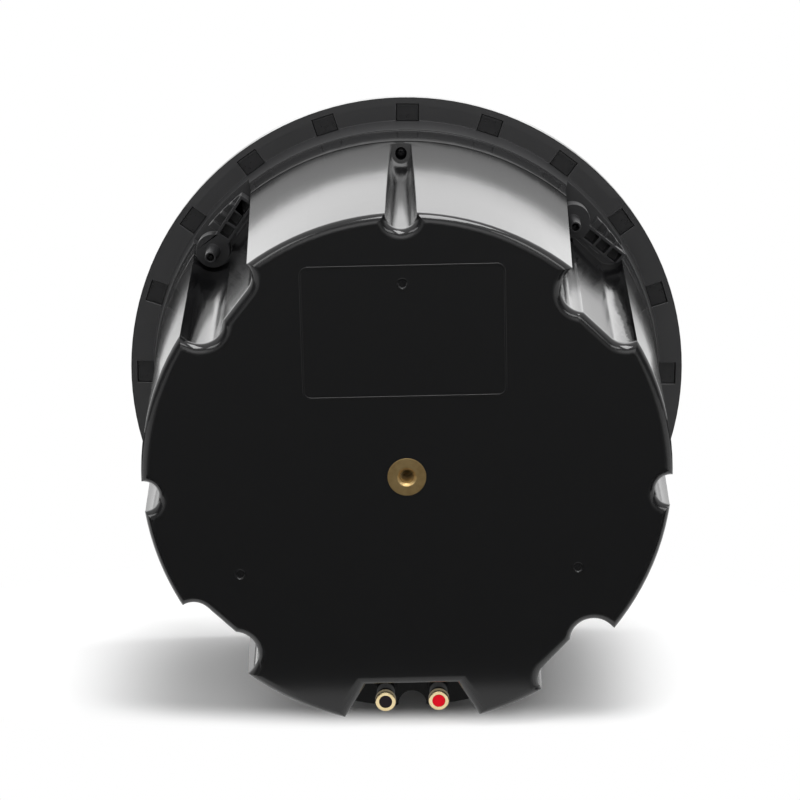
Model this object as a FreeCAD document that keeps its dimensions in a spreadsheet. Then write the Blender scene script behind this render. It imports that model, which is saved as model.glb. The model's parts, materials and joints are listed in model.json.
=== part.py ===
"""Round in-wall loudspeaker with a closed back can, as a parametric document in millimetres.

Every piece is drawn as an installer sees it from inside the wall: X to the right, Y up, and Z away from the
room, with Z = 0 on the face of the flange that bears on the wall. ROW then turns the pieces into the row
frame, where Z is up and the can points along -Y.
"""
import FreeCAD
import Part
import Sketcher
import math
import os
from types import SimpleNamespace
from FreeCAD import Placement, Rotation, Vector

SIZES = {
    # Front frame: flange, two-step collar, shoulder ring and baffle
    "flange_radius": 148.0,
    "flange_thickness": 5.0,
    "lip_height": 3.0,
    "lip_wall": 1.7,
    "collar_root_radius": 135.8,
    "collar_step_radius": 133.8,
    "collar_step": 0.8,
    "collar_end_radius": 131.3,
    "collar_step_depth": 18.0,
    "collar_depth": 41.0,
    "wall": 3.0,
    "front_opening_radius": 132.0,
    "shoulder_depth": 4.0,
    "shoulder_thickness": 5.0,
    "baffle_depth": 14.0,
    "baffle_thickness": 5.0,
    "baffle_step_radius": 106.0,
    "woofer_hole_radius": 97.0,
    # Grille and the magnets that hold it
    "grille_sheet": 0.8,
    "grille_gap": 0.4,
    "grille_rim_height": 2.6,
    "grille_mesh_radius": 128.0,
    "grille_pitch": 24.0,
    "grille_web": 5.0,
    "magnet_circle_radius": 140.0,
    "magnet_width": 11.4,
    "magnet_height": 8.6,
    "magnet_thickness": 3.0,
    "magnet_pocket_depth": 4.0,
    "magnet_clearance": 0.2,
    # Rear can
    "gasket_thickness": 1.0,
    "can_length": 162.0,
    "can_front_radius": 131.0,
    "can_rear_radius": 121.8,
    "can_edge_radius": 4.5,
    "label_width": 91.0,
    "label_height": 59.5,
    "label_corner": 3.0,
    "label_centre": 68.1,
    "label_bead_width": 1.0,
    "label_bead_height": 0.3,
    "mark_radius": 2.5,
    "mark_circle_radius": 90.2,
    "mark_sink": 0.4,
    # Clamp notches, at the front and rear end of the can
    "clamp_angle_upper_right": 46.0,
    "clamp_angle_upper_left": 141.0,
    "clamp_angle_lower_left": 226.0,
    "clamp_angle_lower_right": 316.0,
    "clamp_radius": 124.7,
    "notch_groove_front": 9.4,
    "notch_groove_rear": 11.0,
    "notch_centre_rear": 118.5,
    "notch_flat_front": 118.0,
    "notch_flat_rear": 110.0,
    "notch_end_front": 33.5,
    "notch_end_rear": 34.0,
    "notch_corner_front": 8.0,
    "notch_corner_rear": 9.0,
    # Can screws and the grooves that lead to them
    "screw_angle_top": 90.0,
    "screw_angle_left": 183.6,
    "screw_angle_bottom": 270.0,
    "screw_angle_right": 355.4,
    "screw_circle_radius": 126.0,
    "groove_centre_rear": 121.5,
    "groove_front": 4.8,
    "groove_rear": 7.2,
    "screw_tab": 5.0,
    "can_screw_radius": 1.75,
    "can_screw_length": 18.0,
    "can_screw_head_radius": 2.8,
    "can_screw_head_height": 2.4,
    "can_screw_floor": 1.5,
    "boss_radius": 5.0,
    # Brass hanger insert
    "insert_head_radius": 8.9,
    "insert_head_height": 3.0,
    "insert_body_radius": 6.5,
    "insert_length": 18.0,
    "insert_proud": 0.3,
    "insert_thread_radius": 3.1,
    "insert_thread_length": 15.0,
    "insert_chamfer": 1.3,
    # Terminal recess and the push terminals
    "recess_depth": 31.0,
    "recess_top": 97.7,
    "recess_half_width": 25.0,
    "recess_spread": 0.322,
    "terminal_offset": 12.6,
    "terminal_drop": 113.6,
    "post_flange_radius": 5.2,
    "post_flange_height": 1.5,
    "post_radius": 4.3,
    "post_height": 12.5,
    "post_shank_radius": 3.2,
    "post_shank_length": 12.0,
    "spring_chamber_radius": 3.2,
    "spring_chamber_depth": 6.0,
    "spring_wire": 0.6,
    "button_radius": 4.9,
    "button_height": 3.8,
    "button_travel": 3.5,
    "button_edge": 0.8,
    "stem_radius": 1.9,
    "stem_length": 14.2,
    "wire_hole_radius": 1.2,
    "wire_hole_height": 4.0,
    "disc_radius": 3.0,
    "disc_thickness": 0.6,
    "terminal_nut_radius": 5.0,
    "terminal_nut_height": 4.0,
    # Clamps
    "arm_height": 10.0,
    "arm_length": 32.0,
    "arm_inner_edge": 4.6,
    "arm_sweep_radius": 134.4,
    "arm_rib_offset": 2.8,
    "arm_deck_start": 9.2,
    "arm_deck_height": 7.5,
    "arm_deck_block": 3.3,
    "arm_end_radius": 4.4,
    "arm_head_radius": 8.7,
    "arm_wall": 1.5,
    "arm_floor": 2.0,
    "arm_opening_angle": 4.0,
    "arm_cell_start": 9.6,
    "arm_boss_length": 17.5,
    "arm_boss_root": 3.6,
    "arm_boss_tip": 2.8,
    "clamp_screw_radius": 1.75,
    "clamp_screw_length": 62.5,
    "clamp_screw_head_radius": 4.2,
    "clamp_screw_head_height": 2.6,
    "clamp_nut_radius": 4.0,
    "clamp_nut_length": 6.4,
    # Woofer
    "basket_flange_radius": 104.5,
    "basket_sheet": 1.5,
    "basket_flange_thickness": 2.5,
    "basket_depth": 52.0,
    "basket_shelf_radius": 61.0,
    "basket_neck_radius": 47.0,
    "basket_inner_radius": 88.0,
    "basket_shoulder_radius": 91.5,
    "basket_shoulder_depth": 14.0,
    "basket_bore": 19.0,
    "basket_shelf_depth": 39.5,
    "basket_window_width": 30.0,
    "top_plate_radius": 41.0,
    "top_plate_thickness": 5.0,
    "magnet_ring_radius": 45.0,
    "magnet_ring_bore": 24.0,
    "magnet_ring_thickness": 16.0,
    "yoke_thickness": 6.0,
    "pole_radius": 15.1,
    "coil_radius": 16.3,
    "former_wall": 0.7,
    "coil_winding": 0.6,
    "coil_height": 12.0,
    "gap_clearance": 0.4,
    "cone_radius": 79.0,
    "cone_sheet": 1.2,
    "cone_depth": 33.0,
    "cap_radius": 24.0,
    "cap_height": 7.0,
    "cone_rim": 4.5,
    "roll_radius": 5.5,
    "surround_sheet": 0.8,
    "surround_lip": 6.5,
    "ring_gasket_thickness": 2.0,
    "spider_wave": 2.4,
    "spider_inner_radius": 20.0,
    "spider_pitch": 5.0,
    "woofer_screw_circle": 101.2,
    "woofer_screw_radius": 1.7,
    "woofer_screw_head_radius": 2.8,
    "woofer_screw_head_height": 2.2,
    "woofer_screw_length": 7.0,
    # Tweeter on its bridge
    "bridge_half_width": 9.0,
    "bridge_thickness": 3.0,
    "bridge_reach": 123.0,
    "bridge_foot": 13.0,
    "bridge_ring_radius": 28.0,
    "bridge_rise": 5.0,
    "tweeter_radius": 22.0,
    "tweeter_depth": 20.0,
    "tweeter_wall": 2.0,
    "tweeter_flange": 3.0,
    "dome_radius": 9.8,
    "dome_height": 4.0,
    "dome_sheet": 0.5,
    "dome_lip": 0.4,
    "dome_clearance": 0.5,
    "tweeter_plate_thickness": 3.5,
    "tweeter_magnet_bore": 11.5,
    "tweeter_magnet_height": 10.0,
    # Crossover
    "board_width": 84.0,
    "board_height": 46.0,
    "board_thickness": 1.6,
    "board_centre": 48.0,
    "board_standoff": 11.4,
    "post_inset": 5.0,
    "board_post_radius": 3.6,
    "board_screw_radius": 1.2,
    "board_screw_length": 7.0,
    "choke_radius": 15.0,
    "choke_bore": 6.0,
    "choke_height": 18.0,
    "choke_offset": 24.0,
    "capacitor_radius": 8.0,
    "capacitor_length": 30.0,
    "capacitor_offset": 16.0,
    "resistor_length": 22.0,
    "resistor_side": 7.0,
    # Clearances
    "running_clearance": 0.06,
    "seat_clearance": 0.05,
    "hole_clearance": 0.15,
    "slide_clearance": 0.6,
}

MAGNETS = 20
WOOFER_SCREWS = 8
BASKET_WINDOWS = 6
MARK_ANGLES = (90, 210, 330)
ROW = Placement(Vector(0, 0, 0), Rotation(Vector(1, 0, 0), 90))
ABOUT_Z = Vector(0, 0, 1)
RIM_STEPS = 4
MAGNET_START = 88.5
ARM_CELLS = 3
SPIDER_CRESTS = 7
CORNERS = ("upper_right", "upper_left", "lower_left", "lower_right")
SIDES = ("negative", "positive")


class Size:
    """A number together with the expression that ties a property to the sheet."""

    def __init__(self, value, text):
        self.value = value
        self.text = text

    def __add__(self, other):
        other = as_size(other)
        return Size(self.value + other.value, f"({self.text} + {other.text})")

    def __sub__(self, other):
        other = as_size(other)
        return Size(self.value - other.value, f"({self.text} - {other.text})")

    def __mul__(self, other):
        other = as_size(other)
        return Size(self.value * other.value, f"({self.text} * {other.text})")

    def __truediv__(self, other):
        other = as_size(other)
        return Size(self.value / other.value, f"({self.text} / {other.text})")

    def __radd__(self, other):
        return as_size(other) + self

    def __rsub__(self, other):
        return as_size(other) - self

    def __rmul__(self, other):
        return as_size(other) * self

    def __neg__(self):
        return 0 - self


def as_size(value):
    """A plain number as a size, so that both can stand in one formula."""
    if isinstance(value, Size):
        return value
    return Size(float(value), f"{float(value):.6f}")


def root(size):
    return Size(math.sqrt(size.value), f"sqrt({size.text})")


def cosine(angle):
    return Size(math.cos(math.radians(angle.value)), f"cos({angle.text})")


def sine(angle):
    return Size(math.sin(math.radians(angle.value)), f"sin({angle.text})")


def make_sheet():
    """The sheet of driving dimensions: a name, and a number under an alias of that name."""
    sheet = doc.addObject("Spreadsheet::Sheet", "sizes")
    for row, (name, value) in enumerate(SIZES.items(), start=1):
        sheet.set(f"A{row}", name)
        sheet.set(f"B{row}", f"{value:g}")
        sheet.setAlias(f"B{row}", name)
    doc.recompute()
    return SimpleNamespace(**{name: Size(float(sheet.get(name)), f"sizes.{name}") for name in SIZES})


def bind(thing, prop, size):
    """Set a property and tie it to the sheet."""
    size = as_size(size)
    setattr(thing, prop, size.value)
    thing.setExpression(prop, size.text)


def put(thing, x=0, y=0, z=0):
    """Tie a piece's place to the sheet."""
    for axis, size in zip("xyz", (x, y, z)):
        thing.setExpression("Placement.Base." + axis, as_size(size).text)


def turn_about_z(thing, angle):
    """Tie a piece's angle about the speaker's axis to the sheet."""
    thing.Placement = Placement(Vector(0, 0, 0), Rotation(ABOUT_Z, angle.value))
    thing.setExpression("Placement.Rotation.Angle", angle.text)


def origin_plane(body, role):
    return next(plane for plane in body.Origin.OriginFeatures if plane.Role == role)


def new_sketch(body, name, role, lift=0):
    """A sketch on one of a body's own planes, lifted along the plane's normal."""
    sketch = body.newObject("Sketcher::SketchObject", name)
    sketch.AttachmentSupport = [(origin_plane(body, role), "")]
    sketch.MapMode = "FlatFace"
    sketch.setExpression("AttachmentOffset.Base.z", as_size(lift).text)
    return sketch


def hold(sketch, kind, where, size):
    """Add a dimension to a sketch and tie it to the sheet."""
    index = sketch.addConstraint(Sketcher.Constraint(kind, *where, size.value))
    sketch.setExpression(f"Constraints[{index}]", size.text)


def direction_of(vector):
    return math.atan2(vector.y, vector.x)


def add_side(sketch, here, ahead):
    """One side of an outline; gives its index and which of its ends start and finish it."""
    start = Vector(as_size(here[0]).value, as_size(here[1]).value, 0)
    finish = Vector(as_size(ahead[0]).value, as_size(ahead[1]).value, 0)
    if len(here) == 2:
        return sketch.addGeometry(Part.LineSegment(start, finish), False), 1, 2
    radius, turn = here[2:]
    chord = finish - start
    reach = math.sqrt(max(radius.value ** 2 - chord.Length ** 2 / 4, 0.0))
    left = Vector(-chord.y, chord.x, 0).normalize()
    centre = (start + finish) * 0.5 + left * (turn * reach)
    first, last = (start, finish) if turn > 0 else (finish, start)
    circle = Part.Circle(centre, ABOUT_Z, radius.value)
    arc = Part.ArcOfCircle(circle, direction_of(first - centre), direction_of(last - centre))
    side = sketch.addGeometry(arc, False)
    hold(sketch, "Radius", (side,), radius)
    return (side, 1, 2) if turn > 0 else (side, 2, 1)


def draw(sketch, outline):
    """Draw a closed outline of corners: (x, y), or (x, y, radius, turn) where an arc leads on.

    An arc with turn 1 runs counter-clockwise, and one with turn -1 clockwise.
    """
    sides = [add_side(sketch, here, ahead) for here, ahead in zip(outline, outline[1:] + outline[:1])]
    for (side, _, finish), (following, start, _) in zip(sides, sides[1:] + sides[:1]):
        sketch.addConstraint(Sketcher.Constraint("Coincident", side, finish, following, start))
    for corner, (side, start, _) in zip(outline, sides):
        for kind, axis, distance in (("DistanceX", -2, corner[0]), ("DistanceY", -1, corner[1])):
            if as_size(distance).value == 0 and not isinstance(distance, Size):
                sketch.addConstraint(Sketcher.Constraint("PointOnObject", side, start, axis))
            else:
                hold(sketch, kind, (-1, 1, side, start), as_size(distance))


def new_body(name):
    return doc.addObject("PartDesign::Body", name)


def turned(name, profile):
    """A piece turned about Z from corners of (radius, height)."""
    body = new_body(name)
    sketch = new_sketch(body, name + "_profile", "XZ_Plane")
    draw(sketch, profile)
    turn = body.newObject("PartDesign::Revolution", name + "_turn")
    turn.Profile = sketch
    turn.ReferenceAxis = (sketch, ["V_Axis"])
    turn.Angle = 360
    return body


def plate(name, outline, lift, height):
    """A piece of one outline, padded along Z."""
    body = new_body(name)
    sketch = new_sketch(body, name + "_outline", "XY_Plane", lift)
    draw(sketch, outline)
    pad = body.newObject("PartDesign::Pad", name + "_pad")
    pad.Profile = sketch
    bind(pad, "Length", height)
    return body


def tapered(name, sections):
    """A piece that runs straight between outlines of the same sides, each given with its height."""
    body = new_body(name)
    sketches = []
    for number, (outline, lift) in enumerate(sections, start=1):
        sketch = new_sketch(body, f"{name}_outline_{number}", "XY_Plane", lift)
        draw(sketch, outline)
        sketches.append(sketch)
    loft = body.newObject("PartDesign::AdditiveLoft", name + "_loft")
    loft.Profile = sketches[0]
    loft.Sections = sketches[1:]
    loft.Ruled = True
    return body


def drum(name, radius, lift, height, x=0, y=0):
    """A plain cylinder along Z."""
    piece = doc.addObject("Part::Cylinder", name)
    bind(piece, "Radius", radius)
    bind(piece, "Height", height)
    put(piece, x, y, lift)
    return piece


def block(name, width, depth, lift, height, x=0, y=0):
    """A plain block, centred on x and y."""
    piece = doc.addObject("Part::Box", name)
    bind(piece, "Length", width)
    bind(piece, "Width", depth)
    bind(piece, "Height", height)
    put(piece, x - as_size(width) / 2, y - as_size(depth) / 2, lift)
    return piece


def joined(name, pieces):
    if len(pieces) == 1:
        return pieces[0]
    piece = doc.addObject("Part::MultiFuse", name)
    piece.Shapes = pieces
    return piece


def cut(name, base, tools):
    """A piece with tools cut out of it."""
    piece = doc.addObject("Part::Cut", name)
    piece.Base = base
    piece.Tool = joined(name + "_tools", tools)
    return piece


def group(name, master, places):
    """Copies of one solid at several places, kept together as one piece."""
    doc.recompute()
    piece = doc.addObject("Part::Feature", name)
    copies = []
    for place in places:
        copy = master.Shape.copy()
        copy.Placement = place.multiply(copy.Placement)
        copies.append(copy)
    piece.Shape = Part.makeCompound(copies)
    return piece


def polar(radius, angle):
    """X and Y of a point at a radius and an angle, both sizes."""
    return radius * cosine(angle), radius * sine(angle)


def polar_place(radius, degrees):
    """The place of a copy at a radius on the X axis, swung about Z."""
    swing = Placement(Vector(0, 0, 0), Rotation(ABOUT_Z, degrees))
    return swing.multiply(Placement(Vector(radius.value, 0, 0), Rotation()))


def ring_places(radius, count, first=0.0):
    return [polar_place(radius, first + 360.0 * index / count) for index in range(count)]


def rounded_box(width, height, corner, x=0, y=0):
    """Corners of a rectangle with rounded corners, counter-clockwise."""
    right, top = x + width / 2, y + height / 2
    left, bottom = x - width / 2, y - height / 2
    return [
        (left + corner, bottom), (right - corner, bottom, corner, 1),
        (right, bottom + corner), (right, top - corner, corner, 1),
        (right - corner, top), (left + corner, top, corner, 1),
        (left, top - corner), (left, bottom + corner, corner, 1),
    ]


def notch_outline(centre, groove, flat, end, corner, grow=0):
    """Clamp notch seen along the axis, with the pivot on the X axis and the arm towards -Y.

    A round groove for the clamp's head meets a flat for its arm, and both open outwards.
    """
    groove, flat, end, corner = groove + grow, flat - grow, end + grow, corner + grow
    reach = S.flange_radius
    meeting = root(groove * groove - (centre - flat) * (centre - flat))
    return [
        (reach, groove), (centre, groove, groove, 1),
        (flat, -meeting), (flat, corner - end, corner, 1),
        (flat + corner, -end), (reach, -end),
    ]


def groove_outline(centre, radius, grow=0):
    """Screw groove seen along the axis: round at the bottom and open outwards, on the X axis."""
    radius = radius + grow
    reach = S.flange_radius
    return [
        (reach, radius), (centre, radius, radius, 1),
        (centre - radius, 0, radius, 1), (centre, -radius), (reach, -radius),
    ]


def between(front, rear, share):
    """A size at a share of the way from its front to its rear value."""
    return front + share * (rear - front)


def notch_at(share, grow=0):
    """Clamp notch at a share of the can's length."""
    return notch_outline(between(S.clamp_radius, S.notch_centre_rear, share),
                         between(S.notch_groove_front, S.notch_groove_rear, share),
                         between(S.notch_flat_front, S.notch_flat_rear, share),
                         between(S.notch_end_front, S.notch_end_rear, share),
                         between(S.notch_corner_front, S.notch_corner_rear, share), grow)


def groove_at(share, grow=0):
    """Screw groove at a share of its own length."""
    return groove_outline(between(S.screw_circle_radius, S.groove_centre_rear, share),
                          between(S.groove_front, S.groove_rear, share), grow)


def recess_at(grow):
    """Terminal recess seen along the axis: a trapezium open to the underside of the can."""
    top = S.recess_top - grow
    deep = S.flange_radius
    narrow = S.recess_half_width + grow
    wide = narrow + S.recess_spread * (deep - top)
    return [(-wide, -deep), (wide, -deep), (narrow, -top), (-narrow, -top)]


def rim_stations():
    """Heights round the can's rear rim, each with the distance that the rounding has drawn back there."""
    stations = []
    for step in range(RIM_STEPS + 1):
        angle = math.pi / 2 * step / RIM_STEPS
        height = can_rear - S.can_edge_radius * (1 - math.sin(angle))
        stations.append((height, S.can_edge_radius * (1 - math.cos(angle))))
    return stations


def collar_notches(label, grow=0):
    """Straight notches in the collar and gasket, where the clamps slide."""
    tools = []
    for number, angle in enumerate(clamp_angles, start=1):
        tool = plate(f"{label}_{number}", notch_at(0, grow), shoulder_back, can_front - shoulder_back)
        turn_about_z(tool, angle)
        tools.append(tool)
    return tools


def can_notches(label, stations):
    """Notches in the can: they widen towards the rear, as the mould's draft makes them."""
    sections = [(notch_at((height - can_front) / S.can_length, grow), height) for height, grow in stations]
    tools = []
    for number, angle in enumerate(clamp_angles, start=1):
        tool = tapered(f"{label}_{number}", sections)
        turn_about_z(tool, angle)
        tools.append(tool)
    return tools


def can_grooves(label, stations):
    """Grooves that give a driver its way to the can screws."""
    start = stations[0][0]
    sections = [(groove_at((height - start) / (can_rear - start), grow), height) for height, grow in stations]
    tools = []
    for number, angle in enumerate(screw_angles, start=1):
        tool = tapered(f"{label}_{number}", sections)
        turn_about_z(tool, angle)
        tools.append(tool)
    return tools


def recess_tool(label, stations):
    """Terminal recess, open to the rear and to the underside of the can."""
    return tapered(label, [(recess_at(grow), height) for height, grow in stations])


def screw_bosses(label, start, finish, radius):
    """Drums round the can screws."""
    drums = []
    for number, angle in enumerate(screw_angles, start=1):
        x, y = polar(S.screw_circle_radius, angle)
        drums.append(drum(f"{label}_{number}", radius, start, finish - start, x, y))
    return drums


def front_frame():
    """Flange, collar, shoulder ring and baffle, moulded in one."""
    front = -(S.flange_thickness + S.lip_height)
    seat = -S.flange_thickness
    lip = S.flange_radius - S.lip_wall
    step_out = S.collar_step_radius - S.collar_step
    blank = turned("frame_blank", [
        (S.woofer_hole_radius, S.baffle_depth), (S.baffle_step_radius, S.baffle_depth),
        (S.baffle_step_radius, S.shoulder_depth), (S.front_opening_radius, S.shoulder_depth),
        (S.front_opening_radius, seat), (lip, seat), (lip, front), (S.flange_radius, front),
        (S.flange_radius, 0), (S.collar_root_radius, 0), (S.collar_step_radius, S.collar_step_depth),
        (step_out, S.collar_step_depth), (S.collar_end_radius, S.collar_depth),
        (S.woofer_hole_radius, S.collar_depth),
    ])
    inside = S.woofer_hole_radius - S.wall
    step_back = S.baffle_step_radius + S.wall
    cavity = turned("frame_cavity", [
        (inside, baffle_back), (step_back, baffle_back), (step_back, shoulder_back),
        (cavity_root_radius, shoulder_back),
        (cavity_end_radius, S.collar_depth), (inside, S.collar_depth),
    ])
    solid_parts = collar_notches("frame_notch_wall", S.wall)
    solid_parts += screw_bosses("frame_boss", shoulder_back, S.collar_depth, S.boss_radius)
    hollow = cut("frame_hollow", cavity, solid_parts)
    pocket = block("magnet_pocket", S.magnet_height + 2 * S.magnet_clearance,
                   S.magnet_width + 2 * S.magnet_clearance, -S.magnet_pocket_depth,
                   S.magnet_pocket_depth + S.lip_height)
    pockets = group("magnet_pockets", pocket, ring_places(S.magnet_circle_radius, MAGNETS, MAGNET_START))
    screw_way = S.can_screw_radius + S.hole_clearance / 2
    pilots = screw_bosses("frame_pilot", can_screw_tip - S.wall, S.collar_depth, screw_way)
    clamp_way = drum("frame_clamp_hole", S.clamp_screw_radius + S.hole_clearance, 0, shoulder_back + S.wall)
    clamp_ways = group("frame_clamp_holes", clamp_way, clamp_places)
    woofer_way = drum("frame_woofer_hole", S.woofer_screw_radius + S.hole_clearance, 0,
                      baffle_back + S.wall)
    woofer_ways = group("frame_woofer_holes", woofer_way, woofer_screw_places)
    bridge_way = drum("frame_bridge_hole", S.woofer_screw_radius + S.hole_clearance, 0,
                      shoulder_back + S.wall)
    bridge_ways = group("frame_bridge_holes", bridge_way, bridge_screw_places)
    tools = collar_notches("frame_notch") + [hollow, pockets, clamp_ways, woofer_ways, bridge_ways] + pilots
    return cut("front_frame", blank, tools)


def can_gasket():
    """Foam ring between frame and can, cut to the notched outline."""
    blank = drum("gasket_blank", S.collar_end_radius - S.seat_clearance, S.collar_depth, S.gasket_thickness)
    middle = drum("gasket_middle", cavity_end_radius, S.collar_depth, S.gasket_thickness)
    solid_parts = collar_notches("gasket_notch_wall", S.wall)
    solid_parts += screw_bosses("gasket_ear", S.collar_depth, can_front, S.boss_radius)
    hollow = cut("gasket_hollow", middle, solid_parts)
    holes = screw_bosses("gasket_hole", S.collar_depth, can_front, S.can_screw_radius + S.hole_clearance)
    return cut("can_gasket", blank, collar_notches("gasket_notch") + [hollow] + holes)


def label_bead():
    """Fine raised line round the label field, rooted as deep in the rear face as it stands proud."""
    foot, height = can_rear - S.label_bead_height, 2 * S.label_bead_height
    edge, corner = S.label_bead_width, S.label_corner
    field = rounded_box(S.label_width, S.label_height, corner, 0, S.label_centre)
    border = rounded_box(S.label_width + 2 * edge, S.label_height + 2 * edge, corner + edge, 0, S.label_centre)
    return cut("label_bead", plate("label_border", border, foot, height),
               [plate("label_field", field, foot, height)])


def rear_can():
    """Scalloped back can: a drafted cup with notches, grooves, a recess and posts moulded in."""
    rim, bend = S.can_edge_radius, rim_stations()
    rim_root = between(S.can_front_radius, S.can_rear_radius, 1 - rim / S.can_length)
    blank = turned("can_blank", [
        (0, can_front), (S.can_front_radius, can_front), (rim_root, can_rear - rim, rim, 1),
        (rim_root - rim, can_rear), (0, can_rear),
    ])
    tools = can_notches("can_notch", [(can_front, 0)] + bend)
    tools += can_grooves("can_groove", [(can_front + S.screw_tab, 0)] + bend)
    tools.append(recess_tool("can_recess", [(recess_floor, 0)] + bend))
    outside = cut("can_scalloped", blank, tools)
    core = turned("can_core", [
        (0, can_front), (S.can_front_radius - S.wall, can_front),
        (S.can_rear_radius - S.wall, can_inside), (0, can_inside),
    ])
    full_length = [(can_front, S.wall), (can_rear, S.wall)]
    solid_parts = can_notches("core_notch", full_length) + can_grooves("core_groove", full_length)
    solid_parts.append(recess_tool("core_recess", [(recess_floor - S.wall, S.wall), (can_rear, S.wall)]))
    solid_parts.append(drum("insert_boss", S.insert_body_radius + 2 * S.wall, insert_foot - S.wall,
                            can_inside - insert_foot + S.wall))
    for number, (x, y) in enumerate(board_posts, start=1):
        solid_parts.append(drum(f"board_post_{number}", S.board_post_radius, board_back,
                                can_inside - board_back, x, y))
    cavity = cut("can_cavity", core, solid_parts)
    holes = screw_bosses("can_screw_hole", can_front, can_front + S.screw_tab,
                         S.can_screw_radius + S.hole_clearance)
    holes += screw_bosses("can_screw_sink", screw_seat, can_front + S.screw_tab,
                          S.can_screw_head_radius + S.hole_clearance)
    for number, x in enumerate((-S.terminal_offset, S.terminal_offset), start=1):
        holes.append(drum(f"terminal_hole_{number}", S.post_shank_radius + S.hole_clearance,
                          recess_floor - 2 * S.wall, 3 * S.wall, x, -S.terminal_drop))
    holes.append(drum("insert_hole", S.insert_body_radius + S.seat_clearance, insert_foot, S.insert_length))
    holes.append(drum("insert_head_hole", S.insert_head_radius + S.seat_clearance,
                      can_rear + S.insert_proud - S.insert_head_height, S.insert_head_height))
    for number, (x, y) in enumerate(board_posts, start=1):
        holes.append(drum(f"board_pilot_{number}", S.board_screw_radius + S.hole_clearance / 2,
                          board_back, S.board_screw_length, x, y))
    mark = drum("ejector_mark", S.mark_radius, can_rear - S.mark_sink, S.mark_sink)
    marks = [polar_place(S.mark_circle_radius, angle) for angle in MARK_ANGLES]
    holes.append(group("ejector_marks", mark, marks))
    beaded = joined("can_beaded", [outside, label_bead()])
    return cut("rear_can", beaded, [cavity] + holes)


def can_screws():
    """Screws that draw the can onto the frame."""
    screw = turned("can_screw", [
        (0, can_screw_tip), (S.can_screw_radius, can_screw_tip), (S.can_screw_radius, screw_seat),
        (S.can_screw_head_radius, screw_seat),
        (S.can_screw_head_radius, screw_seat + S.can_screw_head_height),
        (0, screw_seat + S.can_screw_head_height),
    ])
    return group("can_screws", screw, [polar_place(S.screw_circle_radius, a.value) for a in screw_angles])


def grille_magnets():
    """Block magnets, each against the front wall of its pocket."""
    magnet = block("grille_magnet", S.magnet_height, S.magnet_width, -S.magnet_pocket_depth,
                   S.magnet_thickness)
    return group("grille_magnets", magnet, ring_places(S.magnet_circle_radius, MAGNETS, MAGNET_START))


def mesh_places():
    """Centres of the grille's openings: a honeycomb inside the mesh radius."""
    pitch = S.grille_pitch.value
    rows = int(S.grille_mesh_radius.value / pitch) + 2
    places = []
    for row in range(-rows, rows + 1):
        for column in range(-rows, rows + 1):
            spot = Vector(pitch * (column + 0.5 * (row % 2)), pitch * row * math.sqrt(0.75), 0)
            if spot.Length + pitch / 2 < S.grille_mesh_radius.value:
                places.append(Placement(spot, Rotation()))
    return places


def grille():
    """Pressed sheet-steel grille with a turned rim and a honeycomb of openings."""
    seat = -S.flange_thickness
    face = seat - S.grille_rim_height
    rim = S.flange_radius - S.lip_wall - S.grille_gap
    sheet = turned("grille_sheet_blank", [
        (0, face), (rim, face), (rim, seat), (rim - S.grille_sheet, seat),
        (rim - S.grille_sheet, face + S.grille_sheet), (0, face + S.grille_sheet),
    ])
    opening = doc.addObject("Part::Prism", "grille_opening")
    opening.Polygon = 6
    bind(opening, "Circumradius", (S.grille_pitch - S.grille_web) / root(as_size(3)))
    bind(opening, "Height", 3 * S.grille_sheet)
    opening.Placement = Placement(Vector(0, 0, 0), Rotation(ABOUT_Z, 30))
    put(opening, z=face - S.grille_sheet)
    return cut("grille", sheet, [group("grille_openings", opening, mesh_places())])


def hanger_insert():
    """Brass bush with a blind threaded hole, its head just proud of the can's rear face."""
    face = can_rear + S.insert_proud
    mouth = S.insert_thread_radius + S.insert_chamfer
    return turned("hanger_insert", [
        (0, insert_foot), (S.insert_body_radius, insert_foot),
        (S.insert_body_radius, face - S.insert_head_height),
        (S.insert_head_radius, face - S.insert_head_height), (S.insert_head_radius, face),
        (mouth, face), (S.insert_thread_radius, face - S.insert_chamfer),
        (S.insert_thread_radius, face - S.insert_thread_length), (0, face - S.insert_thread_length),
    ])


def cross_hole(name, height):
    """A tool that drills a terminal from below for the wire."""
    tool = doc.addObject("Part::Cylinder", name)
    bind(tool, "Radius", S.wire_hole_radius)
    bind(tool, "Height", 2 * S.post_flange_radius)
    tool.Placement = Placement(Vector(0, 0, 0), Rotation(Vector(1, 0, 0), 90))
    put(tool, y=S.post_flange_radius, z=height)
    return tool


def terminal_post(side):
    """Fixed post: flange on the recess floor, shank through the wall, spring chamber at the end."""
    bore = S.stem_radius + S.running_clearance
    barrel = turned(f"post_barrel_{side}", [
        (0, recess_floor - S.post_shank_length), (S.post_shank_radius, recess_floor - S.post_shank_length),
        (S.post_shank_radius, recess_floor), (S.post_flange_radius, recess_floor),
        (S.post_flange_radius, recess_floor + S.post_flange_height),
        (S.post_radius, recess_floor + S.post_flange_height), (S.post_radius, post_top),
        (S.spring_chamber_radius, post_top), (S.spring_chamber_radius, chamber_floor),
        (bore, chamber_floor), (bore, stem_tip - S.button_travel - S.hole_clearance),
        (0, stem_tip - S.button_travel - S.hole_clearance),
    ])
    hole = cross_hole(f"post_hole_{side}", recess_floor + S.wire_hole_height)
    return cut(f"terminal_post_{side}", barrel, [hole])


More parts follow.
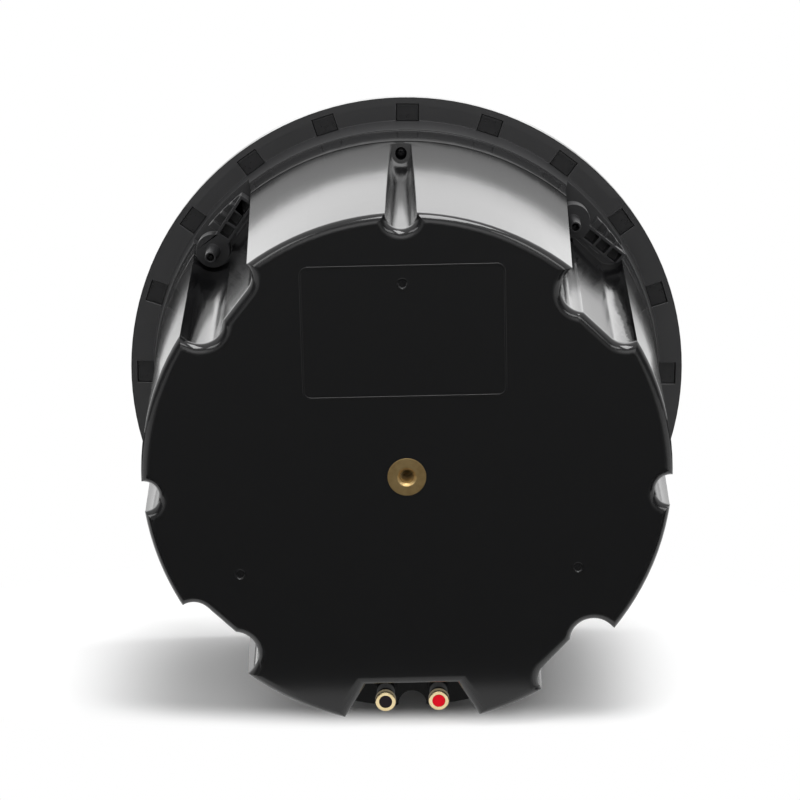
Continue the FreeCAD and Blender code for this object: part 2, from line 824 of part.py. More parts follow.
def terminal_button(side):
    """Gold push button: a cap on a stem, with a shallow seat for the coloured disc."""
    seat = S.disc_radius + S.seat_clearance
    cap = turned(f"button_cap_{side}", [
        (0, stem_tip), (S.stem_radius, stem_tip), (S.stem_radius, button_base),
        (S.button_radius, button_base), (S.button_radius, button_top - S.button_edge, S.button_edge, 1),
        (S.button_radius - S.button_edge, button_top), (seat, button_top),
        (seat, button_top - S.disc_thickness), (0, button_top - S.disc_thickness),
    ])
    hole = cross_hole(f"button_hole_{side}", recess_floor + S.wire_hole_height + S.button_travel)
    return cut(f"terminal_button_{side}", cap, [hole])


def terminal_disc(side):
    """Coloured disc in the end of a button."""
    return drum(f"terminal_disc_{side}", S.disc_radius, button_top - S.disc_thickness, S.disc_thickness)


def terminal_spring(side):
    """Compression spring between the post's chamber and the button, as a sleeve of the coil's size."""
    middle = (S.stem_radius + S.spring_chamber_radius) / 2
    return ring(f"terminal_spring_{side}", middle + S.spring_wire / 2, middle - S.spring_wire / 2,
                chamber_floor, button_base - chamber_floor)


def terminal_nuts():
    """Hex nuts that hold the posts from inside the can."""
    blank = doc.addObject("Part::Prism", "terminal_nut_blank")
    blank.Polygon = 6
    bind(blank, "Circumradius", S.terminal_nut_radius)
    bind(blank, "Height", S.terminal_nut_height)
    put(blank, z=nut_seat - S.terminal_nut_height)
    bore = drum("terminal_nut_bore", S.post_shank_radius + S.seat_clearance,
                nut_seat - S.terminal_nut_height, S.terminal_nut_height)
    nut = cut("terminal_nut", blank, [bore])
    places = [Placement(Vector(x.value, -S.terminal_drop.value, 0), Rotation()) for x in terminal_x]
    return group("terminal_nuts", nut, places)


def sweep_edge(x):
    """Height of the arm's outer edge, an arc about the speaker's axis that clears the hole in the wall."""
    beside = x + S.clamp_radius * sine(S.arm_opening_angle)
    below = S.clamp_radius * cosine(S.arm_opening_angle)
    return root(S.arm_sweep_radius * S.arm_sweep_radius - beside * beside) - below


def arm_bays(label, start, low, high):
    """Tools for a row of bays between cross ribs, down to the arm's floor."""
    length = (S.arm_length - start - ARM_CELLS * S.arm_wall) / ARM_CELLS
    tools = []
    for column in range(ARM_CELLS):
        x = start + length / 2 + column * (length + S.arm_wall)
        tools.append(block(f"{label}_{column}", length, high - low, S.arm_floor, S.arm_height,
                           x, (high + low) / 2))
    return tools


def clamp_arm(corner):
    """Moulded clamp arm, its pivot on Z and its arm along X.

    A round head carries a long boss. A tall rib runs along the arm, with closed cells on its inner side and
    a lower deck with open bays on its outer side.
    """
    head, length, end = S.arm_head_radius, S.arm_length, S.arm_end_radius
    inner, deck = -S.arm_inner_edge, S.arm_deck_start
    rib_low = S.arm_rib_offset - S.arm_wall / 2
    rib_high = S.arm_rib_offset + S.arm_wall / 2
    blank = plate(f"arm_blank_{corner}", [
        (root(head * head - inner * inner), inner), (length - end, inner, end, 1), (length, inner + end),
        (length, sweep_edge(length), S.arm_sweep_radius, 1), (deck, sweep_edge(deck)), (deck, rib_high),
        (root(head * head - rib_high * rib_high), rib_high, head, 1), (-head, 0, head, 1),
    ], 0, S.arm_height)
    boss = doc.addObject("Part::Cone", f"arm_boss_{corner}")
    bind(boss, "Radius1", S.arm_boss_root)
    bind(boss, "Radius2", S.arm_boss_tip)
    bind(boss, "Height", S.arm_boss_length)
    put(boss, z=S.arm_height)
    outside = rib_high + head
    tools = arm_bays(f"arm_cell_{corner}", S.arm_cell_start, inner + S.arm_wall, rib_low)
    tools += arm_bays(f"arm_bay_{corner}", deck + S.arm_deck_block, rib_high, outside)
    tools.append(block(f"arm_step_{corner}", length, head, S.arm_deck_height, S.arm_height,
                       deck + length / 2, (rib_high + outside) / 2))
    tools.append(drum(f"arm_bore_{corner}", S.clamp_screw_radius + S.hole_clearance, 0, arm_total))
    tools.append(drum(f"arm_nut_bore_{corner}", S.clamp_nut_radius + S.running_clearance,
                      nut_lift - S.hole_clearance, S.clamp_nut_length + 2 * S.hole_clearance))
    return cut(f"clamp_arm_{corner}", joined(f"arm_solid_{corner}", [blank, boss]), tools)


def clamp_nut(corner):
    """Round threaded nut on which the arm swings."""
    blank = drum(f"nut_blank_{corner}", S.clamp_nut_radius, nut_lift, S.clamp_nut_length)
    bore = drum(f"nut_bore_{corner}", S.clamp_screw_radius + S.running_clearance, nut_lift,
                S.clamp_nut_length)
    return cut(f"clamp_nut_{corner}", blank, [bore])


def clamp_screw(corner):
    """Long screw, turned from the room side, that draws the clamp up to the wall."""
    seat = S.shoulder_depth
    tip = seat + S.clamp_screw_length
    top = seat - S.clamp_screw_head_height
    return turned(f"clamp_screw_{corner}", [
        (0, top), (S.clamp_screw_head_radius - S.arm_wall / 2, top),
        (S.clamp_screw_head_radius, seat - S.clamp_screw_head_height / 2),
        (S.clamp_screw_head_radius, seat), (S.clamp_screw_radius, seat), (S.clamp_screw_radius, tip),
        (0, tip),
    ])


def woofer_basket():
    """Pressed steel basket with a flange, a spider shelf and windows between its legs."""
    flange = S.baffle_depth - S.basket_flange_thickness
    shelf = S.baffle_depth + S.basket_shelf_depth
    elbow = S.baffle_depth + S.basket_shoulder_depth
    sheet = S.basket_sheet
    outside = S.woofer_hole_radius - sheet
    shell = turned("basket_shell", [
        (S.basket_inner_radius, flange), (S.basket_flange_radius, flange),
        (S.basket_flange_radius, S.baffle_depth), (outside, S.baffle_depth),
        (S.basket_shoulder_radius, elbow), (S.basket_shelf_radius, shelf), (S.basket_neck_radius, shelf),
        (S.basket_neck_radius, basket_foot), (S.basket_bore, basket_foot),
        (S.basket_bore, basket_foot - sheet), (S.basket_neck_radius - sheet, basket_foot - sheet),
        (S.basket_neck_radius - sheet, shelf - sheet), (S.basket_shelf_radius - sheet / 2, shelf - sheet),
        (S.basket_shoulder_radius - sheet, elbow - sheet / 2), (outside - sheet, S.baffle_depth),
        (S.basket_inner_radius, S.baffle_depth),
    ])
    middle = (S.basket_shelf_radius + S.basket_shoulder_radius) / 2
    window = block("basket_window", S.basket_shoulder_radius - S.basket_shelf_radius + 4 * S.wall,
                   S.basket_window_width, elbow + sheet, shelf - elbow - 3 * sheet)
    windows = group("basket_windows", window, ring_places(middle, BASKET_WINDOWS))
    hole = drum("basket_hole", S.woofer_screw_radius + S.hole_clearance, 0, baffle_back)
    holes = group("basket_holes", hole, woofer_screw_places)
    return cut("woofer_basket", shell, [windows, holes])


def ring(name, outer, inner, lift, height):
    """A plain ring along Z."""
    return turned(name, [(inner, lift), (outer, lift), (outer, lift + height), (inner, lift + height)])


def woofer_yoke():
    """Back plate and pole, forged in one."""
    plate_front = magnet_back
    return turned("woofer_yoke", [
        (0, basket_foot - S.basket_sheet), (S.pole_radius, basket_foot - S.basket_sheet),
        (S.pole_radius, plate_front), (S.top_plate_radius, plate_front),
        (S.top_plate_radius, plate_front + S.yoke_thickness), (0, plate_front + S.yoke_thickness),
    ])


def voice_coil():
    """Former tube with its winding, glued into the neck of the cone."""
    middle = basket_foot + S.top_plate_thickness / 2
    low, high = middle - S.coil_height / 2, middle + S.coil_height / 2
    inner, wound = S.coil_radius - S.former_wall, S.coil_radius + S.coil_winding
    return turned("voice_coil", [
        (inner, cone_neck - S.cone_sheet), (S.coil_radius, cone_neck - S.cone_sheet), (S.coil_radius, low),
        (wound, low), (wound, high), (inner, high),
    ])


def woofer_cone():
    """Paper cone with a flat rim for the surround."""
    neck = S.coil_radius + S.seat_clearance
    bend = S.cone_radius - S.cone_rim
    return turned("woofer_cone", [
        (neck, cone_neck), (bend, cone_front), (S.cone_radius, cone_front),
        (S.cone_radius, cone_front + S.cone_sheet), (bend, cone_front + S.cone_sheet),
        (neck, cone_neck + S.cone_sheet),
    ])


def dust_cap():
    """Domed cap over the neck of the cone."""
    run = S.cone_radius - S.cone_rim - S.coil_radius
    rim = cone_neck - S.cone_depth * (S.cap_radius - S.coil_radius) / run - 2 * S.hole_clearance
    top = rim - S.cap_height
    sheet = S.cone_sheet
    inner, rise = S.cap_radius - sheet, S.cap_height - sheet
    outer_arc = (S.cap_radius * S.cap_radius + S.cap_height * S.cap_height) / (2 * S.cap_height)
    inner_arc = (inner * inner + rise * rise) / (2 * rise)
    return turned("dust_cap", [
        (0, top, outer_arc, 1), (S.cap_radius, rim), (inner, rim, inner_arc, -1), (0, top + sheet),
    ])


def surround():
    """Half-roll surround between cone and basket."""
    sheet, roll = S.surround_sheet, S.roll_radius
    near, far = S.cone_radius, S.cone_radius + 2 * roll
    middle = S.cone_radius + roll
    top = cone_front - sheet
    return turned("surround", [
        (near - S.cone_rim, top), (near, top, roll, 1), (middle, top - roll, roll, 1), (far, top),
        (far + S.surround_lip, top), (far + S.surround_lip, cone_front), (far - sheet, cone_front),
        (far - sheet, top, roll - sheet, -1), (middle, top - roll + sheet, roll - sheet, -1),
        (near + sheet, top), (near + sheet, cone_front), (near - S.cone_rim, cone_front),
    ])


def spider():
    """Corrugated cloth disc that centres the coil."""
    sheet = S.surround_sheet
    seat = S.baffle_depth + S.basket_shelf_depth - S.basket_sheet
    low = seat - sheet
    front = [(S.coil_radius + S.seat_clearance, low)]
    for crest in range(SPIDER_CRESTS):
        height = low - S.spider_wave if crest % 2 else low
        front.append((S.spider_inner_radius + crest * S.spider_pitch, height))
    front.append((S.basket_shelf_radius - 2 * S.basket_sheet, low))
    back = [(radius, height + sheet) for radius, height in reversed(front)]
    return turned("spider", front + back)


def woofer_screws():
    """Screws round the basket's flange."""
    seat = cone_front
    screw = turned("woofer_screw", [
        (0, seat - S.woofer_screw_head_height),
        (S.woofer_screw_head_radius, seat - S.woofer_screw_head_height),
        (S.woofer_screw_head_radius, seat), (S.woofer_screw_radius, seat),
        (S.woofer_screw_radius, seat + S.woofer_screw_length), (0, seat + S.woofer_screw_length),
    ])
    return group("woofer_screws", screw, woofer_screw_places)


def tweeter_bridge():
    """Bar across the woofer with a ring for the tweeter and two feet on the shoulder."""
    half, reach, hub = S.bridge_half_width, S.bridge_reach, S.bridge_ring_radius
    meeting = root(hub * hub - half * half)
    bar = plate("bridge_bar", [
        (-reach, -half), (-meeting, -half, hub, 1), (0, -hub, hub, 1), (meeting, -half), (reach, -half),
        (reach, half), (meeting, half, hub, 1), (0, hub, hub, 1), (-meeting, half), (-reach, half),
    ], bridge_back - S.bridge_thickness, S.bridge_thickness)
    foot = block("bridge_foot_blank", S.bridge_foot, 2 * half, bridge_back, S.bridge_rise)
    feet = group("bridge_feet", foot, [polar_place(bridge_screw_x, angle) for angle in (0, 180)])
    hole = drum("bridge_hole", S.tweeter_radius + S.seat_clearance, bridge_back - S.bridge_thickness,
                S.bridge_thickness)
    way = drum("bridge_screw_hole", S.woofer_screw_radius + S.hole_clearance,
               bridge_back - S.bridge_thickness, S.bridge_thickness + S.bridge_rise)
    ways = group("bridge_screw_holes", way, bridge_screw_places)
    return cut("tweeter_bridge", joined("bridge_solid", [bar, feet]), [hole, ways])


def bridge_screws():
    """Screws through the feet of the bridge."""
    seat = bridge_back - S.bridge_thickness
    tip = shoulder_back
    screw = turned("bridge_screw", [
        (0, seat - S.woofer_screw_head_height),
        (S.woofer_screw_head_radius, seat - S.woofer_screw_head_height),
        (S.woofer_screw_head_radius, seat), (S.woofer_screw_radius, seat), (S.woofer_screw_radius, tip),
        (0, tip),
    ])
    return group("bridge_screws", screw, bridge_screw_places)


def tweeter_housing():
    """Cup that closes the tweeter from behind, its flange under the bridge's ring."""
    inner = S.tweeter_radius - S.tweeter_flange
    outer = inner + S.tweeter_wall
    foot = bridge_back + S.tweeter_depth + S.tweeter_wall
    lip = S.tweeter_radius + S.tweeter_flange
    return turned("tweeter_housing", [
        (0, foot), (outer, foot), (outer, bridge_back + S.tweeter_wall), (lip, bridge_back + S.tweeter_wall),
        (lip, bridge_back), (inner, bridge_back), (inner, foot - S.tweeter_wall), (0, foot - S.tweeter_wall),
    ])


def tweeter_stack():
    """Plate, ring magnet and yoke, stacked in the housing."""
    outer = S.tweeter_radius - S.tweeter_flange - S.hole_clearance
    gap = S.dome_radius + S.dome_clearance
    pole = S.dome_radius - S.dome_sheet - S.dome_clearance
    plate_back = bridge_back + S.tweeter_plate_thickness
    magnet_foot = plate_back + S.tweeter_magnet_height
    pole_top = bridge_back + S.dome_clearance
    foot = bridge_back + S.tweeter_depth
    front_plate = ring("tweeter_plate", outer, gap, bridge_back, S.tweeter_plate_thickness)
    magnet = ring("tweeter_magnet", outer, S.tweeter_magnet_bore, plate_back, S.tweeter_magnet_height)
    yoke = turned("tweeter_yoke", [
        (0, pole_top), (pole, pole_top), (pole, magnet_foot), (outer, magnet_foot), (outer, foot), (0, foot),
    ])
    return front_plate, magnet, yoke


def tweeter_dome():
    """Silk dome with its former below and its mounting rim under the face plate."""
    sheet, lip = S.dome_sheet, bridge_back - S.dome_lip
    inner, rise = S.dome_radius - sheet, S.dome_height - sheet
    outer_arc = (S.dome_radius * S.dome_radius + S.dome_height * S.dome_height) / (2 * S.dome_height)
    inner_arc = (inner * inner + rise * rise) / (2 * rise)
    skirt = bridge_back + S.tweeter_plate_thickness
    return turned("tweeter_dome", [
        (0, lip - S.dome_height, outer_arc, 1), (S.dome_radius, lip),
        (S.tweeter_radius - S.seat_clearance, lip), (S.tweeter_radius - S.seat_clearance, bridge_back),
        (S.dome_radius, bridge_back), (S.dome_radius, skirt), (inner, skirt),
        (inner, lip, inner_arc, -1), (0, lip - rise),
    ])


def tweeter_faceplate():
    """Face plate with a short flared horn, in the bridge's ring."""
    back = bridge_back - S.dome_lip
    front = back - S.bridge_thickness
    throat = S.dome_radius + S.dome_clearance
    return turned("tweeter_faceplate", [
        (throat, back), (S.tweeter_radius, back), (S.tweeter_radius, front),
        (S.tweeter_radius - S.tweeter_flange, front), (throat, back - S.dome_clearance),
    ])


def crossover_board():
    """Circuit board on the posts inside the can's rear wall."""
    outline = rounded_box(S.board_width, S.board_height, S.label_corner, 0, S.board_centre)
    blank = plate("board_blank", outline, board_front, S.board_thickness)
    holes = [drum(f"board_hole_{number}", S.board_screw_radius + S.hole_clearance, board_front,
                  S.board_thickness, x, y) for number, (x, y) in enumerate(board_posts, start=1)]
    return cut("crossover_board", blank, holes)


def board_screws():
    """Screws that hold the board to its posts."""
    head = 2 * S.board_screw_radius
    screw = turned("board_screw", [
        (0, board_front - head), (head, board_front - head / 2), (head, board_front),
        (S.board_screw_radius, board_front), (S.board_screw_radius, board_front + S.board_screw_length),
        (0, board_front + S.board_screw_length),
    ])
    places = [Placement(Vector(x.value, y.value, 0), Rotation()) for x, y in board_posts]
    return group("board_screws", screw, places)


def crossover_capacitors():
    """Two film capacitors that lie side by side on the board."""
    radius = S.capacitor_radius
    can = doc.addObject("Part::Cylinder", "capacitor")
    bind(can, "Radius", radius)
    bind(can, "Height", S.capacitor_length)
    can.Placement = Placement(Vector(0, 0, 0), Rotation(Vector(0, 1, 0), 90))
    put(can, S.capacitor_offset - S.capacitor_length / 2, S.board_centre, board_front - radius)
    apart = radius.value + S.hole_clearance.value
    places = [Placement(Vector(0, side * apart, 0), Rotation()) for side in (-1, 1)]
    return group("crossover_capacitors", can, places)


def crossover_choke():
    """Air-core coil, standing on the board."""
    coil = ring("crossover_choke", S.choke_radius, S.choke_bore, board_front - S.choke_height, S.choke_height)
    return coil


def crossover_resistor():
    """Cement resistor beside the coil."""
    drop = S.board_height / 2 - S.resistor_side / 2
    return block("crossover_resistor", S.resistor_length, S.resistor_side, board_front - S.resistor_side,
                 S.resistor_side, -S.choke_offset / 2, S.board_centre - drop)


doc = FreeCAD.newDocument("in_wall_speaker")
S = make_sheet()

# Heights along the axis and places that several pieces share
shoulder_back = S.shoulder_depth + S.shoulder_thickness
baffle_back = S.baffle_depth + S.baffle_thickness
can_front = S.collar_depth + S.gasket_thickness
can_rear = can_front + S.can_length
can_inside = can_rear - S.wall
cavity_root_radius = S.collar_step_radius - S.wall
cavity_end_radius = S.collar_end_radius - S.wall
screw_seat = can_front + S.can_screw_floor
can_screw_tip = screw_seat - S.can_screw_length
insert_foot = can_rear + S.insert_proud - S.insert_length
recess_floor = can_rear - S.recess_depth
nut_seat = recess_floor - S.wall
post_top = recess_floor + S.post_height
chamber_floor = post_top - S.spring_chamber_depth
button_base = post_top + S.button_travel + S.hole_clearance
button_top = button_base + S.button_height
stem_tip = button_base - S.stem_length
terminal_x = (-S.terminal_offset, S.terminal_offset)
arm_front = can_front + S.slide_clearance
arm_total = S.arm_height + S.arm_boss_length
nut_lift = (S.arm_height - S.clamp_nut_length) / 2
basket_foot = S.baffle_depth + S.basket_depth
magnet_back = basket_foot + S.top_plate_thickness + S.magnet_ring_thickness
cone_front = S.baffle_depth - S.basket_flange_thickness
cone_neck = cone_front + S.cone_depth
bridge_back = S.shoulder_depth - S.bridge_rise
board_back = can_inside - S.board_standoff
board_front = board_back - S.board_thickness
clamp_angles = (S.clamp_angle_upper_right, S.clamp_angle_upper_left,
                S.clamp_angle_lower_left, S.clamp_angle_lower_right)
screw_angles = (S.screw_angle_top, S.screw_angle_left, S.screw_angle_bottom, S.screw_angle_right)
clamp_places = [polar_place(S.clamp_radius, angle.value) for angle in clamp_angles]
woofer_screw_places = ring_places(S.woofer_screw_circle, WOOFER_SCREWS, 180.0 / WOOFER_SCREWS)
bridge_screw_x = S.bridge_reach - S.bridge_foot / 2
bridge_screw_places = [Placement(Vector(sx * bridge_screw_x.value, sy * S.bridge_half_width.value / 2, 0),
                                 Rotation()) for sx in (-1, 1) for sy in (-1, 1)]
board_posts = [(sx * (S.board_width / 2 - S.post_inset),
                S.board_centre + sy * (S.board_height / 2 - S.post_inset))
               for sx in (-1, 1) for sy in (-1, 1)]

# Every piece, with its place in the installer's view
HERE = Placement()
pieces = [(piece, HERE) for piece in (
    front_frame(), grille(), grille_magnets(), can_gasket(), rear_can(), can_screws(), hanger_insert(),
    terminal_nuts(), woofer_basket(), woofer_screws(), woofer_yoke(), voice_coil(), woofer_cone(), dust_cap(),
    surround(), spider(), tweeter_bridge(), bridge_screws(), tweeter_housing(), *tweeter_stack(),
    tweeter_dome(), tweeter_faceplate(), crossover_board(), board_screws(), crossover_capacitors(),
    crossover_resistor(),
)]
far_rim = S.cone_radius + 2 * S.roll_radius
pieces.append((ring("woofer_gasket", far_rim + S.surround_lip, far_rim + S.hole_clearance,
                    cone_front - S.surround_sheet - S.ring_gasket_thickness, S.ring_gasket_thickness), HERE))
pieces.append((ring("woofer_top_plate", S.top_plate_radius, S.coil_radius + S.coil_winding + S.gap_clearance,
                    basket_foot, S.top_plate_thickness), HERE))
pieces.append((ring("woofer_magnet", S.magnet_ring_radius, S.magnet_ring_bore,
                    basket_foot + S.top_plate_thickness, S.magnet_ring_thickness), HERE))
choke_place = Placement(Vector(-S.choke_offset.value, S.board_centre.value, 0), Rotation())
pieces.append((crossover_choke(), choke_place))
for side, x in zip(SIDES, terminal_x):
    place = Placement(Vector(x.value, -S.terminal_drop.value, 0), Rotation())
    for make in (terminal_post, terminal_button, terminal_disc, terminal_spring):
        pieces.append((make(side), place))
for corner, angle, place in zip(CORNERS, clamp_angles, clamp_places):
    folded = Placement(Vector(0, 0, arm_front.value), Rotation(ABOUT_Z, S.arm_opening_angle.value - 90))
    pieces.append((clamp_arm(corner), place.multiply(folded)))
    pieces.append((clamp_nut(corner), place.multiply(folded)))
    pieces.append((clamp_screw(corner), place))

doc.recompute()
for piece, place in pieces:
    piece.Label = piece.Name
    piece.setExpression("Placement.Base.x", None)
    piece.setExpression("Placement.Base.y", None)
    piece.setExpression("Placement.Base.z", None)
    piece.Placement = ROW.multiply(place).multiply(piece.Placement)
doc.recompute()

for thing in doc.Objects:
    if "Invalid" in thing.State or "Error" in thing.State:
        raise RuntimeError(f"{thing.Name} failed: {thing.State}")
os.makedirs("parts", exist_ok=True)
for piece, place in pieces:
    if piece.Shape.isNull() or not piece.Shape.isValid() or not piece.Shape.Solids:
        raise RuntimeError(f"{piece.Label} has no valid solid")
for piece, place in pieces:
    piece.Shape.exportStep(f"parts/{piece.Label}.step")
    print(f"{piece.Label:28s} {len(piece.Shape.Solids):3d} solids {piece.Shape.Volume / 1000:9.2f} cm3")
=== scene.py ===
"""Looks for a round in-wall loudspeaker with a closed back can, seen from behind as it lies on a table.

Lengths are metres in the shared frame: X to the right as seen from behind, Y out of the wall into the room,
Z up. Sizes written in millimetres are multiplied by MM.
"""
import json
import math

import bpy
from mathutils import Matrix, Vector


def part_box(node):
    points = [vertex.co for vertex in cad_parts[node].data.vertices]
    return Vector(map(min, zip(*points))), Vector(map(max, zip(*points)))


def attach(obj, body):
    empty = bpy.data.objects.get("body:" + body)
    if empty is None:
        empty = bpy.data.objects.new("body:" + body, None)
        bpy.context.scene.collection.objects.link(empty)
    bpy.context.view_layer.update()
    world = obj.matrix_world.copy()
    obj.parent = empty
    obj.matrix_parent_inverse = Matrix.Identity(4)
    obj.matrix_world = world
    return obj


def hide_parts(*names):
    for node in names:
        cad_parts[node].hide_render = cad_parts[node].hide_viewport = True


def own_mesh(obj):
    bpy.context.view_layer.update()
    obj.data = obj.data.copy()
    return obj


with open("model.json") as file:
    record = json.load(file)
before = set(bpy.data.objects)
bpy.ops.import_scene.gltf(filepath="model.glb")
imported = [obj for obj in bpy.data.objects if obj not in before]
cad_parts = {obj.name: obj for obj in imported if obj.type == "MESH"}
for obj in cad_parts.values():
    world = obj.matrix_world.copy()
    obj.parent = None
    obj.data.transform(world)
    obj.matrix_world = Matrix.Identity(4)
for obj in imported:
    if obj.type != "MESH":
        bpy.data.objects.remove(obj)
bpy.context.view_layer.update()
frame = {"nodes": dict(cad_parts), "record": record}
MM = 0.001
CORNERS = ("upper_right", "upper_left", "lower_left", "lower_right")
SIDES = ("negative", "positive")
SLOT_OF = {part["node"]: part["material_slot"] for part in frame["record"]["subparts"]}
BODY_OF = {node: body for body, members in frame["record"]["behaviour"]["bodies"].items()
           for node in members}

# Places on the solids, in millimetres, that finishes and shapes go by
FLANGE_RADIUS_MM, SHOULDER_Y_MM = 148.0, -18.0
CAN_REAR_Y_MM, BEAD_Y_MM = -204.0, -204.3

# A wave texture draws twenty bands over one unit of its scale
BANDS_PER_UNIT = 20


def linear(text):
    """An sRGB hex colour as the linear RGBA that a shader takes."""
    channels = [int(text[i:i + 2], 16) / 255 for i in (0, 2, 4)]
    return tuple(c / 12.92 if c <= 0.04045 else ((c + 0.055) / 1.055) ** 2.4 for c in channels) + (1.0,)


def add(tree, kind, inputs, outputs=None, **settings):
    """Add one node with its settings, set or link its inputs, and lead its outputs on to other sockets."""
    made = tree.nodes.new(kind)
    for name, value in settings.items():
        setattr(made, name, value)
    for name, value in inputs.items():
        if isinstance(value, bpy.types.NodeSocket):
            tree.links.new(value, made.inputs[name])
        else:
            made.inputs[name].default_value = value
    for name, socket in (outputs or {}).items():
        tree.links.new(made.outputs[name], socket)
    return made.outputs


def new_finish(name, colour, roughness, metallic=0.0):
    """A named material; returns it with its tree, the shader's sockets and the object coordinates."""
    finish = bpy.data.materials.new(name)
    finish.use_nodes = True
    tree = finish.node_tree
    shader = tree.nodes["Principled BSDF"].inputs
    shader["Base Color"].default_value = linear(colour)
    shader["Roughness"].default_value = roughness
    shader["Metallic"].default_value = metallic
    place = add(tree, "ShaderNodeTexCoord", {})["Object"]
    return finish, tree, shader, place


def polished_abs():
    """Black ABS from a polished mould: mirror-like walls with a slight ripple, a spark-eroded rear face."""
    finish, tree, shader, place = new_finish("polished_black_abs", "0c0c0d", 0.12)
    depth = add(tree, "ShaderNodeSeparateXYZ", {"Vector": place})["Y"]
    rear = add(tree, "ShaderNodeMapRange", {"Value": depth, "From Min": (CAN_REAR_Y_MM + 0.8) * MM,
                                            "From Max": (CAN_REAR_Y_MM + 0.3) * MM})
    smears = add(tree, "ShaderNodeTexNoise", {"Vector": place, "Scale": 1 / (60 * MM), "Detail": 4.0})
    walls = add(tree, "ShaderNodeMapRange", {"Value": smears["Fac"], "To Min": 0.08, "To Max": 0.17})
    add(tree, "ShaderNodeMix", {"Factor": rear["Result"], "A": walls["Result"], "B": 0.28},
        {"Result": shader["Roughness"]})
    ripple = add(tree, "ShaderNodeTexNoise", {"Vector": place, "Scale": 1 / (16 * MM), "Detail": 1.0})
    waves = add(tree, "ShaderNodeBump", {"Height": ripple["Fac"], "Distance": 0.12 * MM, "Strength": 0.25})
    # Erosion grit is about 0.15 mm; it is drawn at 0.6 mm so that it shows
    grit = add(tree, "ShaderNodeTexNoise", {"Vector": place, "Scale": 1 / (0.6 * MM), "Detail": 1.0})
    pitted = add(tree, "ShaderNodeMath", {0: rear["Result"], 1: grit["Fac"]}, operation="MULTIPLY")
    add(tree, "ShaderNodeBump", {"Height": pitted["Value"], "Distance": 0.03 * MM, "Strength": 0.3,
                                 "Normal": waves["Normal"]}, {"Normal": shader["Normal"]})
    return finish


def textured_abs():
    """Black ABS with a fine mould texture: a satin flange and shoulder, a polished collar and edge, these
    two painted darker as shade.
    """
    finish, tree, shader, place = new_finish("textured_black_abs", "282829", 0.2)
    depth = add(tree, "ShaderNodeSeparateXYZ", {"Vector": place})["Y"]
    behind = add(tree, "ShaderNodeMapRange", {"Value": depth, "From Min": (SHOULDER_Y_MM + 0.1) * MM,
                                              "From Max": (SHOULDER_Y_MM - 0.1) * MM})
    flat = add(tree, "ShaderNodeVectorMath", {0: place, 1: (1.0, 0.0, 1.0)}, operation="MULTIPLY")
    radius = add(tree, "ShaderNodeVectorMath", {0: flat["Vector"]}, operation="LENGTH")
    edge = add(tree, "ShaderNodeMapRange", {"Value": radius["Value"],
                                            "From Min": (FLANGE_RADIUS_MM - 0.6) * MM,
                                            "From Max": (FLANGE_RADIUS_MM - 0.3) * MM})
    polished = add(tree, "ShaderNodeMath", {0: behind["Result"], 1: edge["Result"]}, operation="MAXIMUM")
    patches = add(tree, "ShaderNodeTexNoise", {"Vector": place, "Scale": 1 / (45 * MM), "Detail": 3.0})
    satin = add(tree, "ShaderNodeMapRange", {"Value": patches["Fac"], "To Min": 0.36, "To Max": 0.46})
    add(tree, "ShaderNodeMix", {"Factor": polished["Value"], "A": satin["Result"], "B": 0.13},
        {"Result": shader["Roughness"]})
    cloudy = add(tree, "ShaderNodeMix", {"Factor": patches["Fac"], "A": linear("262627"),
                                         "B": linear("2b2b2c")}, data_type="RGBA")
    # The polished collar and edge also take a darker colour: painted shade
    add(tree, "ShaderNodeMix", {"Factor": polished["Value"], "A": cloudy["Result"], "B": linear("19191a")},
        {"Result": shader["Base Color"]}, data_type="RGBA")
    # The texture's grain is about 0.2 mm; it is drawn at 0.7 mm so that it shows
    fine = add(tree, "ShaderNodeTexNoise", {"Vector": place, "Scale": 1 / (0.7 * MM), "Detail": 2.0})
    add(tree, "ShaderNodeBump", {"Height": fine["Fac"], "Distance": 0.03 * MM, "Strength": 0.25},
        {"Normal": shader["Normal"]})
    return finish


def filled_nylon():
    """Glass-filled nylon, moulded: black, with short fibres that dull the surface in streaks."""
    finish, tree, shader, place = new_finish("filled_black_nylon", "1d1d1e", 0.4)
    along = add(tree, "ShaderNodeMapping", {"Vector": place, "Scale": (1.0, 0.3, 1.0)})
    fibres = add(tree, "ShaderNodeTexNoise", {"Vector": along["Vector"], "Scale": 1 / (1.2 * MM),
                                              "Detail": 3.0})
    add(tree, "ShaderNodeMapRange", {"Value": fibres["Fac"], "To Min": 0.28, "To Max": 0.52},
        {"Result": shader["Roughness"]})
    add(tree, "ShaderNodeMix", {"Factor": fibres["Fac"], "A": linear("18181a"), "B": linear("242425")},
        {"Result": shader["Base Color"]}, data_type="RGBA")
    add(tree, "ShaderNodeBump", {"Height": fibres["Fac"], "Distance": 0.05 * MM, "Strength": 0.3},
        {"Normal": shader["Normal"]})
    return finish


def turned_brass():
    """Machined brass: fine rings from the lathe and a little tarnish."""
    finish, tree, shader, place = new_finish("turned_brass", "c8aa72", 0.45, 1.0)
    rings = add(tree, "ShaderNodeTexWave", {"Vector": place, "Scale": 1 / (BANDS_PER_UNIT * 0.5 * MM),
                                            "Distortion": 0.4}, wave_type="RINGS", rings_direction="Y")
    add(tree, "ShaderNodeBump", {"Height": rings["Fac"], "Distance": 0.02 * MM, "Strength": 0.4},
        {"Normal": shader["Normal"]})
    tarnish = add(tree, "ShaderNodeTexNoise", {"Vector": place, "Scale": 1 / (5 * MM), "Detail": 3.0})
    add(tree, "ShaderNodeMix", {"Factor": tarnish["Fac"], "A": linear("dcc08a"), "B": linear("9a7c4c")},
        {"Result": shader["Base Color"]}, data_type="RGBA")
    add(tree, "ShaderNodeMapRange", {"Value": tarnish["Fac"], "To Min": 0.38, "To Max": 0.54},
        {"Result": shader["Roughness"]})
    return finish


